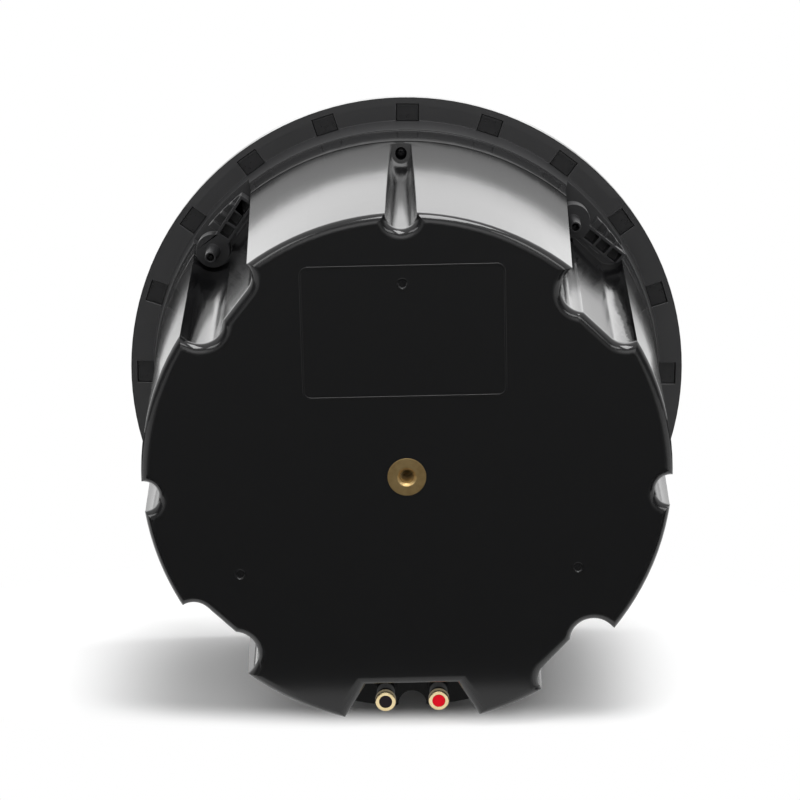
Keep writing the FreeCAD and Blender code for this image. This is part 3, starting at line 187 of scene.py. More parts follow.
def gold_plate():
    """Gold plating over turned brass: bright, pale and smooth, with faint handling marks."""
    finish, tree, shader, place = new_finish("gold_plate", "ecd29a", 0.2, 1.0)
    marks = add(tree, "ShaderNodeTexNoise", {"Vector": place, "Scale": 1 / (3 * MM), "Detail": 4.0})
    add(tree, "ShaderNodeMapRange", {"Value": marks["Fac"], "To Min": 0.14, "To Max": 0.34},
        {"Result": shader["Roughness"]})
    add(tree, "ShaderNodeMix", {"Factor": marks["Fac"], "A": linear("f4e4bc"), "B": linear("dfc48c")},
        {"Result": shader["Base Color"]}, data_type="RGBA")
    return finish


def zinc_plate():
    """Zinc-plated steel: cool grey, cloudy from the bath."""
    finish, tree, shader, place = new_finish("zinc_plated_steel", "a9abad", 0.3, 1.0)
    clouds = add(tree, "ShaderNodeTexNoise", {"Vector": place, "Scale": 1 / (2.5 * MM), "Detail": 3.0})
    add(tree, "ShaderNodeMapRange", {"Value": clouds["Fac"], "To Min": 0.22, "To Max": 0.44},
        {"Result": shader["Roughness"]})
    add(tree, "ShaderNodeMix", {"Factor": clouds["Fac"], "A": linear("b4b6b8"), "B": linear("94979b")},
        {"Result": shader["Base Color"]}, data_type="RGBA")
    return finish


def black_oxide():
    """Black-oxide steel: nearly black, with a thin oily sheen that comes and goes."""
    finish, tree, shader, place = new_finish("black_oxide_steel", "1a1a1c", 0.4)
    oil = add(tree, "ShaderNodeTexNoise", {"Vector": place, "Scale": 1 / (1.5 * MM), "Detail": 3.0})
    add(tree, "ShaderNodeMapRange", {"Value": oil["Fac"], "To Min": 0.3, "To Max": 0.5},
        {"Result": shader["Roughness"]})
    add(tree, "ShaderNodeMix", {"Factor": oil["Fac"], "A": linear("161618"), "B": linear("232326")},
        {"Result": shader["Base Color"]}, data_type="RGBA")
    return finish


def black_nickel():
    """Black-nickel plate on the sintered magnets: dark and neutral, with a soft shine."""
    finish, tree, shader, place = new_finish("black_nickel_plate", "1e1e1f", 0.3)
    pits = add(tree, "ShaderNodeTexNoise", {"Vector": place, "Scale": 1 / (2 * MM), "Detail": 4.0})
    add(tree, "ShaderNodeMapRange", {"Value": pits["Fac"], "To Min": 0.2, "To Max": 0.42},
        {"Result": shader["Roughness"]})
    add(tree, "ShaderNodeBump", {"Height": pits["Fac"], "Distance": 0.06 * MM, "Strength": 0.5},
        {"Normal": shader["Normal"]})
    return finish


def powder_coat():
    """White powder coat on sheet steel: a faint orange peel and a soft sheen."""
    finish, tree, shader, place = new_finish("white_powder_coat", "dcdcd8", 0.5)
    peel = add(tree, "ShaderNodeTexNoise", {"Vector": place, "Scale": 1 / (0.9 * MM), "Detail": 2.0})
    add(tree, "ShaderNodeBump", {"Height": peel["Fac"], "Distance": 0.03 * MM, "Strength": 0.3},
        {"Normal": shader["Normal"]})
    drift = add(tree, "ShaderNodeTexNoise", {"Vector": place, "Scale": 1 / (35 * MM), "Detail": 2.0})
    add(tree, "ShaderNodeMapRange", {"Value": drift["Fac"], "To Min": 0.42, "To Max": 0.58},
        {"Result": shader["Roughness"]})
    add(tree, "ShaderNodeMix", {"Factor": drift["Fac"], "A": linear("deded9"), "B": linear("d8d8d5")},
        {"Result": shader["Base Color"]}, data_type="RGBA")
    return finish


def stoved_enamel():
    """Black stoved enamel on pressed steel: thick, with a gentle orange peel."""
    finish, tree, shader, place = new_finish("black_stoved_enamel", "17171a", 0.35)
    peel = add(tree, "ShaderNodeTexNoise", {"Vector": place, "Scale": 1 / (1.5 * MM), "Detail": 2.0})
    add(tree, "ShaderNodeBump", {"Height": peel["Fac"], "Distance": 0.04 * MM, "Strength": 0.3},
        {"Normal": shader["Normal"]})
    add(tree, "ShaderNodeMapRange", {"Value": peel["Fac"], "To Min": 0.28, "To Max": 0.44},
        {"Result": shader["Roughness"]})
    return finish


def butyl_rubber():
    """Moulded butyl rubber: matte black with a grey bloom."""
    finish, tree, shader, place = new_finish("butyl_rubber", "161616", 0.7)
    bloom = add(tree, "ShaderNodeTexNoise", {"Vector": place, "Scale": 1 / (8 * MM), "Detail": 4.0})
    add(tree, "ShaderNodeMapRange", {"Value": bloom["Fac"], "To Min": 0.55, "To Max": 0.85},
        {"Result": shader["Roughness"]})
    add(tree, "ShaderNodeMix", {"Factor": bloom["Fac"], "A": linear("121212"), "B": linear("202020")},
        {"Result": shader["Base Color"]}, data_type="RGBA")
    return finish


def paper_pulp():
    """Pressed paper pulp, dyed dark grey: felted fibres on a dry surface."""
    finish, tree, shader, place = new_finish("pressed_paper_pulp", "2b2b2c", 0.85)
    fibres = add(tree, "ShaderNodeTexNoise", {"Vector": place, "Scale": 1 / (1.4 * MM), "Detail": 6.0,
                                              "Distortion": 1.5})
    add(tree, "ShaderNodeBump", {"Height": fibres["Fac"], "Distance": 0.2 * MM, "Strength": 0.6},
        {"Normal": shader["Normal"]})
    add(tree, "ShaderNodeMix", {"Factor": fibres["Fac"], "A": linear("1f1f20"), "B": linear("3c3c3e")},
        {"Result": shader["Base Color"]}, data_type="RGBA")
    return finish


def treated_cotton():
    """Resin-treated cotton for the centring disc: an amber weave."""
    finish, tree, shader, place = new_finish("treated_cotton", "8a6a2c", 0.8)
    yarns = 1 / (BANDS_PER_UNIT * 0.8 * MM)
    warp = add(tree, "ShaderNodeTexWave", {"Vector": place, "Scale": yarns}, bands_direction="X")
    weft = add(tree, "ShaderNodeTexWave", {"Vector": place, "Scale": yarns}, bands_direction="Z")
    weave = add(tree, "ShaderNodeMath", {0: warp["Fac"], 1: weft["Fac"]}, operation="MAXIMUM")
    add(tree, "ShaderNodeBump", {"Height": weave["Value"], "Distance": 0.2 * MM, "Strength": 0.6},
        {"Normal": shader["Normal"]})
    add(tree, "ShaderNodeMix", {"Factor": weave["Value"], "A": linear("5f4518"), "B": linear("98763a")},
        {"Result": shader["Base Color"]}, data_type="RGBA")
    return finish


def coated_silk():
    """Coated silk for the dome: dark, with a soft sheen over a fine weave."""
    finish, tree, shader, place = new_finish("coated_silk", "202023", 0.5)
    weave = add(tree, "ShaderNodeTexNoise", {"Vector": place, "Scale": 1 / (0.5 * MM), "Detail": 2.0})
    add(tree, "ShaderNodeBump", {"Height": weave["Fac"], "Distance": 0.06 * MM, "Strength": 0.5},
        {"Normal": shader["Normal"]})
    add(tree, "ShaderNodeMapRange", {"Value": weave["Fac"], "To Min": 0.4, "To Max": 0.6},
        {"Result": shader["Roughness"]})
    return finish


def sintered_ferrite():
    """Sintered ferrite: dark grey, dull and slightly pitted."""
    finish, tree, shader, place = new_finish("sintered_ferrite", "2e2e30", 0.6)
    pits = add(tree, "ShaderNodeTexVoronoi", {"Vector": place, "Scale": 1 / (2 * MM)})
    add(tree, "ShaderNodeBump", {"Height": pits["Distance"], "Distance": 0.1 * MM, "Strength": 0.5},
        {"Normal": shader["Normal"]})
    add(tree, "ShaderNodeMapRange", {"Value": pits["Distance"], "To Min": 0.5, "To Max": 0.75},
        {"Result": shader["Roughness"]})
    return finish


def enamelled_copper(name):
    """Enamelled copper winding: fine turns in relief, each painted lighter on its crown and darker between,
    as painted highlight and shade.
    """
    finish, tree, shader, place = new_finish(name, "a8592c", 0.3, 1.0)
    turns = add(tree, "ShaderNodeTexWave", {"Vector": place, "Scale": 1 / (BANDS_PER_UNIT * 0.9 * MM)},
                bands_direction="Y")
    add(tree, "ShaderNodeBump", {"Height": turns["Fac"], "Distance": 0.3 * MM, "Strength": 0.6},
        {"Normal": shader["Normal"]})
    # Colour goes dark to light across each turn: painted shade and painted highlight
    add(tree, "ShaderNodeMix", {"Factor": turns["Fac"], "A": linear("6b3216"), "B": linear("b5652f")},
        {"Result": shader["Base Color"]}, data_type="RGBA")
    return finish


def dyed_acetal(name, colour, worn):
    """Dyed acetal disc: matte, with a trace of flow from the gate."""
    finish, tree, shader, place = new_finish(name, colour, 0.5)
    shader["Specular IOR Level"].default_value = 0.12
    flow = add(tree, "ShaderNodeTexNoise", {"Vector": place, "Scale": 1 / (2 * MM), "Detail": 3.0})
    add(tree, "ShaderNodeMix", {"Factor": flow["Fac"], "A": linear(colour), "B": linear(worn)},
        {"Result": shader["Base Color"]}, data_type="RGBA")
    add(tree, "ShaderNodeMapRange", {"Value": flow["Fac"], "To Min": 0.4, "To Max": 0.6},
        {"Result": shader["Roughness"]})
    return finish


def board_lacquer():
    """Green solder lacquer on glass laminate: the weave shows faintly through it."""
    finish, tree, shader, place = new_finish("green_board_lacquer", "1f5a33", 0.35)
    weave = add(tree, "ShaderNodeTexWave", {"Vector": place, "Scale": 1 / (BANDS_PER_UNIT * 1.0 * MM),
                                            "Distortion": 1.0}, bands_direction="DIAGONAL")
    add(tree, "ShaderNodeMix", {"Factor": weave["Fac"], "A": linear("1a4f2c"), "B": linear("25683c")},
        {"Result": shader["Base Color"]}, data_type="RGBA")
    return finish


def polyester_film():
    """Amber polyester film, wound and sealed: glossy with wrinkles."""
    finish, tree, shader, place = new_finish("amber_polyester_film", "b5801c", 0.25)
    wrinkles = add(tree, "ShaderNodeTexNoise", {"Vector": place, "Scale": 1 / (5 * MM), "Detail": 4.0})
    add(tree, "ShaderNodeBump", {"Height": wrinkles["Fac"], "Distance": 0.3 * MM, "Strength": 0.4},
        {"Normal": shader["Normal"]})
    return finish


def cast_cement():
    """Cast cement: chalky, pale and granular."""
    finish, tree, shader, place = new_finish("cast_cement", "cfcdc4", 0.85)
    grains = add(tree, "ShaderNodeTexNoise", {"Vector": place, "Scale": 1 / (0.8 * MM), "Detail": 5.0})
    add(tree, "ShaderNodeMix", {"Factor": grains["Fac"], "A": linear("bcbab0"), "B": linear("dddbd3")},
        {"Result": shader["Base Color"]}, data_type="RGBA")
    return finish


FINISHES = {
    "frame_plastic": textured_abs(), "can_plastic": polished_abs(), "clamp_plastic": filled_nylon(),
    "grille_paint": powder_coat(), "nickel": black_nickel(), "ferrite": sintered_ferrite(),
    "soft_rubber": butyl_rubber(), "zinc": zinc_plate(), "black_steel": stoved_enamel(),
    "black_oxide": black_oxide(), "brass": turned_brass(), "gold": gold_plate(),
    "disc_black": dyed_acetal("black_acetal", "1c151a", "261d23"),
    "disc_red": dyed_acetal("red_acetal", "f40424", "e8041f"),
    "paper": paper_pulp(), "cloth": treated_cotton(), "former": enamelled_copper("voice_coil_copper"),
    "silk": coated_silk(), "board": board_lacquer(), "film": polyester_film(),
    "copper": enamelled_copper("choke_copper"), "cement": cast_cement(),
}

# Distances and angles that the modelling steps share
WELD_MM, MERGE_MM, TOUCH_MM = 0.002, 0.001, 0.02
FLAT_DEGREES, SHARP_DEGREES, BROKEN_DEGREES, SMOOTH_DEGREES = 0.2, 30.0, 40.0, 35.0

# A quarter turn in four steps, for rounded outlines
QUARTER_TURN = [math.pi / 2 * step / 4 for step in range(5)]


def deselect():
    """Leave nothing selected, so that an operator acts on the new piece alone."""
    bpy.ops.object.select_all(action="DESELECT")


def activate(piece):
    """Select one piece alone and make it the active one."""
    deselect()
    piece.select_set(True)
    bpy.context.view_layer.objects.active = piece


def edit(piece):
    """Open a piece for editing, with all of it selected."""
    activate(piece)
    bpy.ops.object.mode_set(mode="EDIT")
    bpy.ops.mesh.select_all(action="SELECT")


def leave_edit():
    """Go back to whole pieces."""
    bpy.ops.object.mode_set(mode="OBJECT")


def pick_faces(piece, chosen):
    """Open a piece for editing, with only the faces selected that a rule picks out."""
    edit(piece)
    bpy.ops.mesh.select_all(action="DESELECT")
    leave_edit()
    for face in piece.data.polygons:
        face.select = chosen(face)
    bpy.ops.object.mode_set(mode="EDIT")
    bpy.ops.mesh.select_mode(type="FACE")


def named(name):
    """Name the piece that an operator has just made."""
    piece = bpy.context.object
    piece.name = name
    piece.data.name = name
    return piece


def paint(piece, finish):
    """Give a piece one finish all over."""
    piece.data.materials.clear()
    piece.data.materials.append(finish)


def fit(piece, node, replace=True):
    """Put a piece on a node's body in the node's finish, and let it stand for the node."""
    paint(piece, FINISHES[SLOT_OF[node]])
    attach(piece, BODY_OF[node])
    if replace:
        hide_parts(node)


def smooth(piece):
    """Shade the round faces smooth and keep the corners crisp."""
    activate(piece)
    bpy.ops.object.shade_smooth_by_angle(angle=math.radians(SMOOTH_DEGREES))


def apply_modifier(piece, kind, **settings):
    """Give a piece one modifier and apply it."""
    activate(piece)
    modifier = piece.modifiers.new(kind.lower(), kind)
    for name, value in settings.items():
        setattr(modifier, name, value)
    bpy.ops.object.modifier_apply(modifier=modifier.name)


def close_up(piece, cap_ends=False):
    """Merge doubled points, cap open ends where asked, and turn all faces outwards."""
    edit(piece)
    bpy.ops.mesh.remove_doubles(threshold=MERGE_MM * MM)
    if cap_ends:
        bpy.ops.mesh.fill_holes(sides=0)
    bpy.ops.mesh.normals_make_consistent(inside=False)
    leave_edit()


def soften(piece, width_mm, segments, chosen):
    """Round the sharp edges that a rule picks out by their two ends, in millimetres."""
    edit(piece)
    bpy.ops.mesh.select_mode(type="EDGE")
    bpy.ops.mesh.select_all(action="DESELECT")
    bpy.ops.mesh.edges_select_sharp(sharpness=math.radians(SHARP_DEGREES))
    leave_edit()
    points = piece.data.vertices
    for edge in piece.data.edges:
        ends = [points[number].co / MM for number in edge.vertices]
        edge.select = edge.select and chosen(*ends)
    bpy.ops.object.mode_set(mode="EDIT")
    bpy.ops.mesh.bevel(offset=width_mm * MM, segments=segments, affect="EDGES", clamp_overlap=False,
                       loop_slide=False)
    bpy.ops.mesh.select_mode(type="VERT")
    leave_edit()


def finished_solid(node, name, edge_mm=0.0, softened=(), shape=None):
    """Copy a node's solid, weld it, shape it, break its sharp edges and smooth its round faces."""
    piece = bpy.data.objects.new(name, frame["nodes"][node].data.copy())
    bpy.context.scene.collection.objects.link(piece)
    edit(piece)
    bpy.ops.mesh.remove_doubles(threshold=WELD_MM * MM)
    bpy.ops.mesh.customdata_custom_splitnormals_clear()
    if edge_mm or softened:
        bpy.ops.mesh.dissolve_limited(angle_limit=math.radians(FLAT_DEGREES))
    leave_edit()
    if shape:
        shape(piece)
    # A softened edge may overshoot, so its points are brought back to the solid's own rear
    rear = min(point.co.y for point in piece.data.vertices)
    for width_mm, segments, chosen in softened:
        soften(piece, width_mm, segments, chosen)
    for point in piece.data.vertices:
        point.co.y = max(point.co.y, rear)
    if edge_mm:
        apply_modifier(piece, "BEVEL", width=edge_mm * MM, segments=2, limit_method="ANGLE",
                       angle_limit=math.radians(BROKEN_DEGREES), use_clamp_overlap=False)
    smooth(piece)
    apply_modifier(piece, "WEIGHTED_NORMAL", keep_sharp=True)
    fit(piece, node)


def drawn(name, corners):
    """Draw an outline point by point beside the Y axis, from (radius, y) in millimetres."""
    deselect()
    bpy.ops.mesh.primitive_plane_add(size=MM, location=(0, 0, 0))
    piece = named(name)
    bpy.ops.object.mode_set(mode="EDIT")
    bpy.ops.mesh.merge(type="CENTER")
    here = Vector((corners[0][0], corners[0][1], 0)) * MM
    bpy.ops.transform.translate(value=here)
    for radius, y in corners[1:]:
        there = Vector((radius, y, 0)) * MM
        bpy.ops.mesh.extrude_vertices_move(TRANSFORM_OT_translate={"value": there - here})
        here = there
    leave_edit()
    return piece


def swept(piece, steps, pitch_mm=0.0, turns=1):
    """Turn an outline about its own Y axis, once or climbing by a pitch, and close what comes of it."""
    apply_modifier(piece, "SCREW", axis="Y", angle=math.tau, steps=steps, render_steps=steps,
                   screw_offset=pitch_mm * MM, iterations=turns)
    close_up(piece, cap_ends=pitch_mm > 0)
    bpy.ops.object.transform_apply(location=True, rotation=True, scale=True)
    smooth(piece)
    return piece


def coil(name, wire_sides, wire_mm, radius_mm, low_mm, high_mm, pitch_mm, steps, x=0.0, z=0.0):
    """A wire or thread ridge that climbs round an axis along Y."""
    deselect()
    bpy.ops.mesh.primitive_circle_add(vertices=wire_sides, radius=wire_mm * MM, location=(x, 0, z))
    piece = named(name)
    bpy.ops.object.mode_set(mode="EDIT")
    bpy.ops.mesh.select_all(action="SELECT")
    bpy.ops.transform.translate(value=(radius_mm * MM, (low_mm + wire_mm) * MM, 0))
    leave_edit()
    return swept(piece, steps, pitch_mm, round((high_mm - low_mm - 2 * wire_mm) / pitch_mm))


def joined(name, pieces):
    """Several meshes as one piece."""
    activate(pieces[0])
    for piece in pieces[1:]:
        piece.select_set(True)
    bpy.ops.object.join()
    return named(name)


def copied(piece, name, move):
    """A copy with its own mesh, moved in its mesh."""
    other = bpy.data.objects.new(name, piece.data.copy())
    bpy.context.scene.collection.objects.link(other)
    other.data.transform(move)
    return other


def cross_cut(piece, y_mm, reach_mm, width_mm, depth_mm):
    """Cut a cross recess for a driver into the top of a head at y, on the Y axis."""
    deselect()
    bpy.ops.mesh.primitive_cube_add(size=width_mm * MM, location=(0, y_mm * MM, 0))
    cutter = named("cross_cutter")
    bpy.ops.object.transform_apply(location=True, rotation=True, scale=True)
    pick_faces(cutter, lambda face: abs(face.normal.y) < 0.5)
    bpy.ops.mesh.extrude_faces_move(TRANSFORM_OT_shrink_fatten={"value": (reach_mm - width_mm / 2) * MM})
    bpy.ops.mesh.select_all(action="SELECT")
    bpy.ops.mesh.normals_make_consistent(inside=False)
    bpy.ops.mesh.select_mode(type="VERT")
    bpy.ops.transform.resize(value=(1, 2 * depth_mm / width_mm, 1), center_override=(0, y_mm * MM, 0))
    leave_edit()
    apply_modifier(piece, "BOOLEAN", object=cutter, operation="DIFFERENCE", solver="EXACT")
    bpy.data.objects.remove(cutter)
    smooth(piece)


def pan_head_screw(name, head_mm, height_mm, shank_mm, length_mm, pitch_mm):
    """A pan-head screw on the Y axis, its seat at y = 0, its head towards +Y and its thread towards -Y."""
    root = shank_mm - 0.3 * pitch_mm
    body = drawn(name + "_body", [
        *((head_mm * math.sin(angle), height_mm * (0.3 + 0.7 * math.cos(angle))) for angle in QUARTER_TURN),
        (head_mm, 0), (root, 0), (root, pitch_mm - length_mm), (0.4 * root, -length_mm), (0, -length_mm),
    ])
    swept(body, steps=32)
    cross_cut(body, height_mm, reach_mm=0.55 * head_mm, width_mm=0.24 * head_mm, depth_mm=0.55 * height_mm)
    ridge = coil(name + "_thread", wire_sides=3, wire_mm=0.42 * pitch_mm, radius_mm=root + 0.08 * pitch_mm,
                 low_mm=0.6 * pitch_mm - length_mm, high_mm=0.0, pitch_mm=pitch_mm, steps=18)
    return joined(name, [body, ridge])


def at(radius_mm, degrees, y_mm, faces_rear=False):
    """Place of a screw on a circle round the speaker's axis, its head to the room or to the rear."""
    angle = math.radians(degrees)
    spot = Vector((radius_mm * math.cos(angle), y_mm, radius_mm * math.sin(angle))) * MM
    turn = Matrix.Rotation(math.pi if faces_rear else 0.0, 4, "X")
    return Matrix.Translation(spot) @ turn


def screw_set(master, node, name, places):
    """Copies of one screw at several places, as one piece for a node."""
    copies = [copied(master, f"{name}_{number}", place) for number, place in enumerate(places, start=1)]
    fit(joined(name, copies), node)


# Back can: places on its solid, in millimetres, that are shaped further or softened
CAN_SCREW_ANGLES, GROOVE_REACH_DEGREES = (90.0, 183.6, 270.0, 355.4), 6.0
LIP_FRONT_Y_MM, LIP_REAR_Y_MM = -45.0, -199.7
LAND_Y_MM, LAND_RADIUS_MM, LAND_SLOPE = -47.0, 131.0, math.tan(math.radians(33))
RECESS_FRONT_Y_MM, RECESS_TOP_Z_MM, RECESS_EDGE_MM, RECESS_REACH_MM = -169.0, -97.7, 7.0, 36.0
RECESS_DROP_MM, RECESS_NARROWING = 3.7, 0.86
MARK_CIRCLE_MM, MARK_REACH_MM = 90.2, 2.7


def lean_screw_lands(piece):
    """Lean the flat land round each can screw outwards, as the moulding's draft leaves it."""
    for point in piece.data.vertices:
        if abs(point.co.y / MM - LAND_Y_MM) < TOUCH_MM:
            radius = math.hypot(point.co.x, point.co.z) / MM
            point.co.y -= max(LAND_RADIUS_MM - radius, 0.0) * LAND_SLOPE * MM


def draw_in_recess(piece):
    """Draw the upper edge of the can's recess down and in towards the terminals."""
    for point in piece.data.vertices:
        x, y, z = point.co / MM
        near_top = abs(x) < RECESS_REACH_MM and abs(z - RECESS_TOP_Z_MM) < RECESS_EDGE_MM
        if near_top and y < RECESS_FRONT_Y_MM:
            point.co.z -= RECESS_DROP_MM * MM
            point.co.x *= RECESS_NARROWING


def shape_can(piece):
    """Bring the copy of the can nearer to the photograph than its solid is."""
    lean_screw_lands(piece)
    draw_in_recess(piece)


def is_lip(one, other):
    """Edges that run down the can's wall on both sides of a screw's groove."""
    along = abs(one.y - other.y) > 0.9 * (one - other).length
    inside = max(one.y, other.y) < LIP_FRONT_Y_MM and min(one.y, other.y) > LIP_REAR_Y_MM
    angle = math.degrees(math.atan2(one.z, one.x))
    aside = min(abs((angle - groove + 180) % 360 - 180) for groove in CAN_SCREW_ANGLES)
    return along and inside and aside < GROOVE_REACH_DEGREES


def is_bead_top(one, other):
    """Outer edges of the bead that stands proud of the rear face."""
    return max(one.y, other.y) < (CAN_REAR_Y_MM + BEAD_Y_MM) / 2


def is_mark_edge(one, other):
    """Edges of the three round marks, sunk in the flat of the rear face."""
    ends = (one, other)
    flat = all(abs(end.y - CAN_REAR_Y_MM) < TOUCH_MM for end in ends)
    return flat and all(abs(math.hypot(end.x, end.z) - MARK_CIRCLE_MM) < MARK_REACH_MM for end in ends)


# Softened edges of the can: width in millimetres, steps across it, and the rule that picks them out
CAN_EDGES = ((0.9, 3, is_lip), (0.24, 3, is_bead_top), (0.3, 2, is_mark_edge))

# Moulded and machined pieces after their solids, with edges broken as a mould or tool leaves them
finished_solid("rear_can", "back_can", softened=CAN_EDGES, shape=shape_can)
finished_solid("front_frame", "flange_and_collar", edge_mm=0.35)
finished_solid("tweeter_bridge", "tweeter_bar", edge_mm=0.5)
finished_solid("grille_magnets", "grille_magnet_blocks", edge_mm=0.25)
finished_solid("hanger_insert", "hanger_bush", edge_mm=0.25)
for corner in CORNERS:
    finished_solid(f"clamp_arm_{corner}", f"clamp_lever_{corner}", edge_mm=0.25)
for side in SIDES:
    finished_solid(f"terminal_post_{side}", f"wire_post_{side}", edge_mm=0.25)
    finished_solid(f"terminal_button_{side}", f"push_button_{side}", edge_mm=0.2)
    finished_solid(f"terminal_disc_{side}", f"polarity_disc_{side}", edge_mm=0.12)
for node in ("woofer_cone", "dust_cap", "surround", "spider", "woofer_basket", "woofer_gasket",
             "tweeter_dome", "tweeter_faceplate", "tweeter_housing", "can_gasket"):
    finished_solid(node, node + "_finished")

# Screws: the clamps' long machine screws, the can's tapping screws and the short ones in front
CLAMP_SEAT_Y_MM = -4.0
CAN_SCREW_CIRCLE_MM, CAN_SEAT_Y_MM = 126.0, -43.5
WOOFER_SCREWS, WOOFER_SCREW_CIRCLE_MM, WOOFER_SEAT_Y_MM = 8, 101.2, -11.5
BAR_SCREW_X_MM, BAR_SCREW_Z_MM, BAR_SEAT_Y_MM = 116.5, 4.5, 4.0
clamp_master = pan_head_screw("clamp_screw_master", head_mm=4.2, height_mm=2.6, shank_mm=1.75,
                              length_mm=62.5, pitch_mm=2.0)
for corner in CORNERS:
    node = f"clamp_screw_{corner}"
    low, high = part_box(node)
    middle = (Vector(low) + Vector(high)) / 2
    middle.y = CLAMP_SEAT_Y_MM * MM
    fit(copied(clamp_master, f"clamp_bolt_{corner}", Matrix.Translation(middle)), node)
bpy.data.objects.remove(clamp_master)
tapping_master = pan_head_screw("tapping_master", head_mm=2.8, height_mm=2.4, shank_mm=1.75,
                                length_mm=18.0, pitch_mm=1.4)
screw_set(tapping_master, "can_screws", "can_bolts",
          [at(CAN_SCREW_CIRCLE_MM, degrees, CAN_SEAT_Y_MM, faces_rear=True)
           for degrees in CAN_SCREW_ANGLES])
bpy.data.objects.remove(tapping_master)
short_master = pan_head_screw("short_master", head_mm=2.8, height_mm=2.2, shank_mm=1.7,
                              length_mm=7.0, pitch_mm=1.3)
screw_set(short_master, "woofer_screws", "basket_bolts",
          [at(WOOFER_SCREW_CIRCLE_MM, 360.0 / WOOFER_SCREWS * (number + 0.5), WOOFER_SEAT_Y_MM)
           for number in range(WOOFER_SCREWS)])
screw_set(short_master, "bridge_screws", "bar_bolts",
          [Matrix.Translation(Vector((x, BAR_SEAT_Y_MM, z)) * MM)
           for x in (-BAR_SCREW_X_MM, BAR_SCREW_X_MM) for z in (-BAR_SCREW_Z_MM, BAR_SCREW_Z_MM)])
bpy.data.objects.remove(short_master)

# Thread inside the hanger bush, and the springs of the push terminals
thread = coil("hanger_thread", wire_sides=3, wire_mm=0.5, radius_mm=3.05, low_mm=-203.0, high_mm=-190.5,
              pitch_mm=1.27, steps=24)
fit(thread, "hanger_insert", replace=False)
for side in SIDES:
    node = f"terminal_spring_{side}"
    low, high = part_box(node)
    middle = (Vector(low) + Vector(high)) / 2 / MM
    spring = coil(f"push_spring_{side}", wire_sides=8, wire_mm=0.3, radius_mm=2.55, low_mm=low[1] / MM,
                  high_mm=high[1] / MM, pitch_mm=2.25, steps=24, x=middle.x * MM, z=middle.z * MM)
    fit(spring, node)
    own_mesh(spring)

# Grille: a fine honeycomb of openings inside a turned rim, the sheet a little below the rim's border
GRILLE_PITCH_MM, GRILLE_WEB_MM, GRILLE_SHEET_MM, GRILLE_SINK_MM = 5.0, 1.3, 0.8, 0.25
GRILLE_FACE_MM, GRILLE_SEAT_MM, GRILLE_RIM_MM, GRILLE_FIELD_MM = 7.6, 5.0, 145.9, 140.0
GRILLE_BEND_MM, GRILLE_LAP_MM = 1.2, 4.0


def grille_mesh():
    """Perforated sheet: one six-sided opening, repeated in rows and trimmed to a circle."""
    deselect()
    bpy.ops.mesh.primitive_circle_add(vertices=6, radius=GRILLE_PITCH_MM / math.sqrt(3) * MM,
                                      fill_type="NGON", rotation=(math.pi / 2, 0, 0))
    piece = named("grille_mesh")
    bpy.ops.object.transform_apply(location=True, rotation=True, scale=True)
    edit(piece)
    bpy.ops.mesh.inset(thickness=GRILLE_WEB_MM / 2 * MM)
    bpy.ops.mesh.delete(type="FACE")
    leave_edit()
    step, rise = GRILLE_PITCH_MM * MM, GRILLE_PITCH_MM * math.sqrt(0.75) * MM
    rows = 2 * math.ceil(GRILLE_FIELD_MM * MM / rise) + 1
    columns = rows + rows // 2
    for count, offset in ((columns, (step, 0, 0)), (rows, (step / 2, 0, rise))):
        apply_modifier(piece, "ARRAY", count=count, use_relative_offset=False, use_constant_offset=True,
                       constant_offset_displace=offset, use_merge_vertices=True, merge_threshold=0.01 * MM)
    middle = Vector((columns // 2 * step + rows // 2 * step / 2, 0, rows // 2 * rise))
    front = Vector((0, (GRILLE_FACE_MM - GRILLE_SINK_MM) * MM, 0))
    piece.data.transform(Matrix.Translation(front - middle))
    pick_faces(piece, lambda face: math.hypot(face.center.x, face.center.z) > GRILLE_FIELD_MM * MM)
    bpy.ops.mesh.delete(type="FACE")
    bpy.ops.mesh.select_mode(type="VERT")
    leave_edit()
    apply_modifier(piece, "SOLIDIFY", thickness=GRILLE_SHEET_MM * MM, offset=1.0)
    close_up(piece)
    return piece


def grille_rim():
    """Plain border of the grille with its edge turned back to the flange."""
    sheet, face, rim, seat = GRILLE_SHEET_MM, GRILLE_FACE_MM, GRILLE_RIM_MM, GRILLE_SEAT_MM
    inner, bend = GRILLE_FIELD_MM - GRILLE_LAP_MM, GRILLE_BEND_MM
    corners = [(inner, face)]
    for angle in QUARTER_TURN:
        corners.append((rim - bend + bend * math.sin(angle), face - bend + bend * math.cos(angle)))
    corners += [(rim, seat), (rim - sheet, seat), (rim - sheet, face - bend), (inner, face - sheet - 0.1),
                (inner, face)]
    return swept(drawn("grille_rim", corners), steps=180)


mesh, rim = grille_mesh(), grille_rim()
fit(joined("perforated_grille", [rim, mesh]), "grille")

# Nodes that nothing replaces keep their own mesh, in their finish
for node in frame["nodes"]:
    if not frame["nodes"][node].hide_render:
        paint(frame["nodes"][node], FINISHES[SLOT_OF[node]])

# Camera: the photograph's place and lens, solved from outlines measured in it
TILT, YAW, ROLL = 0.2482, -0.0017, math.radians(-1.3)
OFFSET = Vector((3.484, 1329.5, 14.874)) * MM
FOCUS_PX, IMAGE_PX = 2472.6, 800


def place_camera():
    """Set the camera where the photograph was taken."""
    turn = Matrix.Rotation(YAW, 3, "Z") @ Matrix.Rotation(TILT, 3, "X") @ Matrix.Rotation(ROLL, 3, "Y")
    axes = Matrix((turn[0], turn[2], -turn[1])).transposed().to_4x4()
    lens = bpy.data.cameras.new("camera")
    lens.sensor_width = 36.0
    lens.lens = FOCUS_PX / IMAGE_PX * lens.sensor_width
    lens.clip_start = 0.01
    camera = bpy.data.objects.new("camera", lens)
    bpy.context.scene.collection.objects.link(camera)
    camera.matrix_world = Matrix.Translation(-(turn.transposed() @ OFFSET)) @ axes
    bpy.context.scene.camera = camera


place_camera()

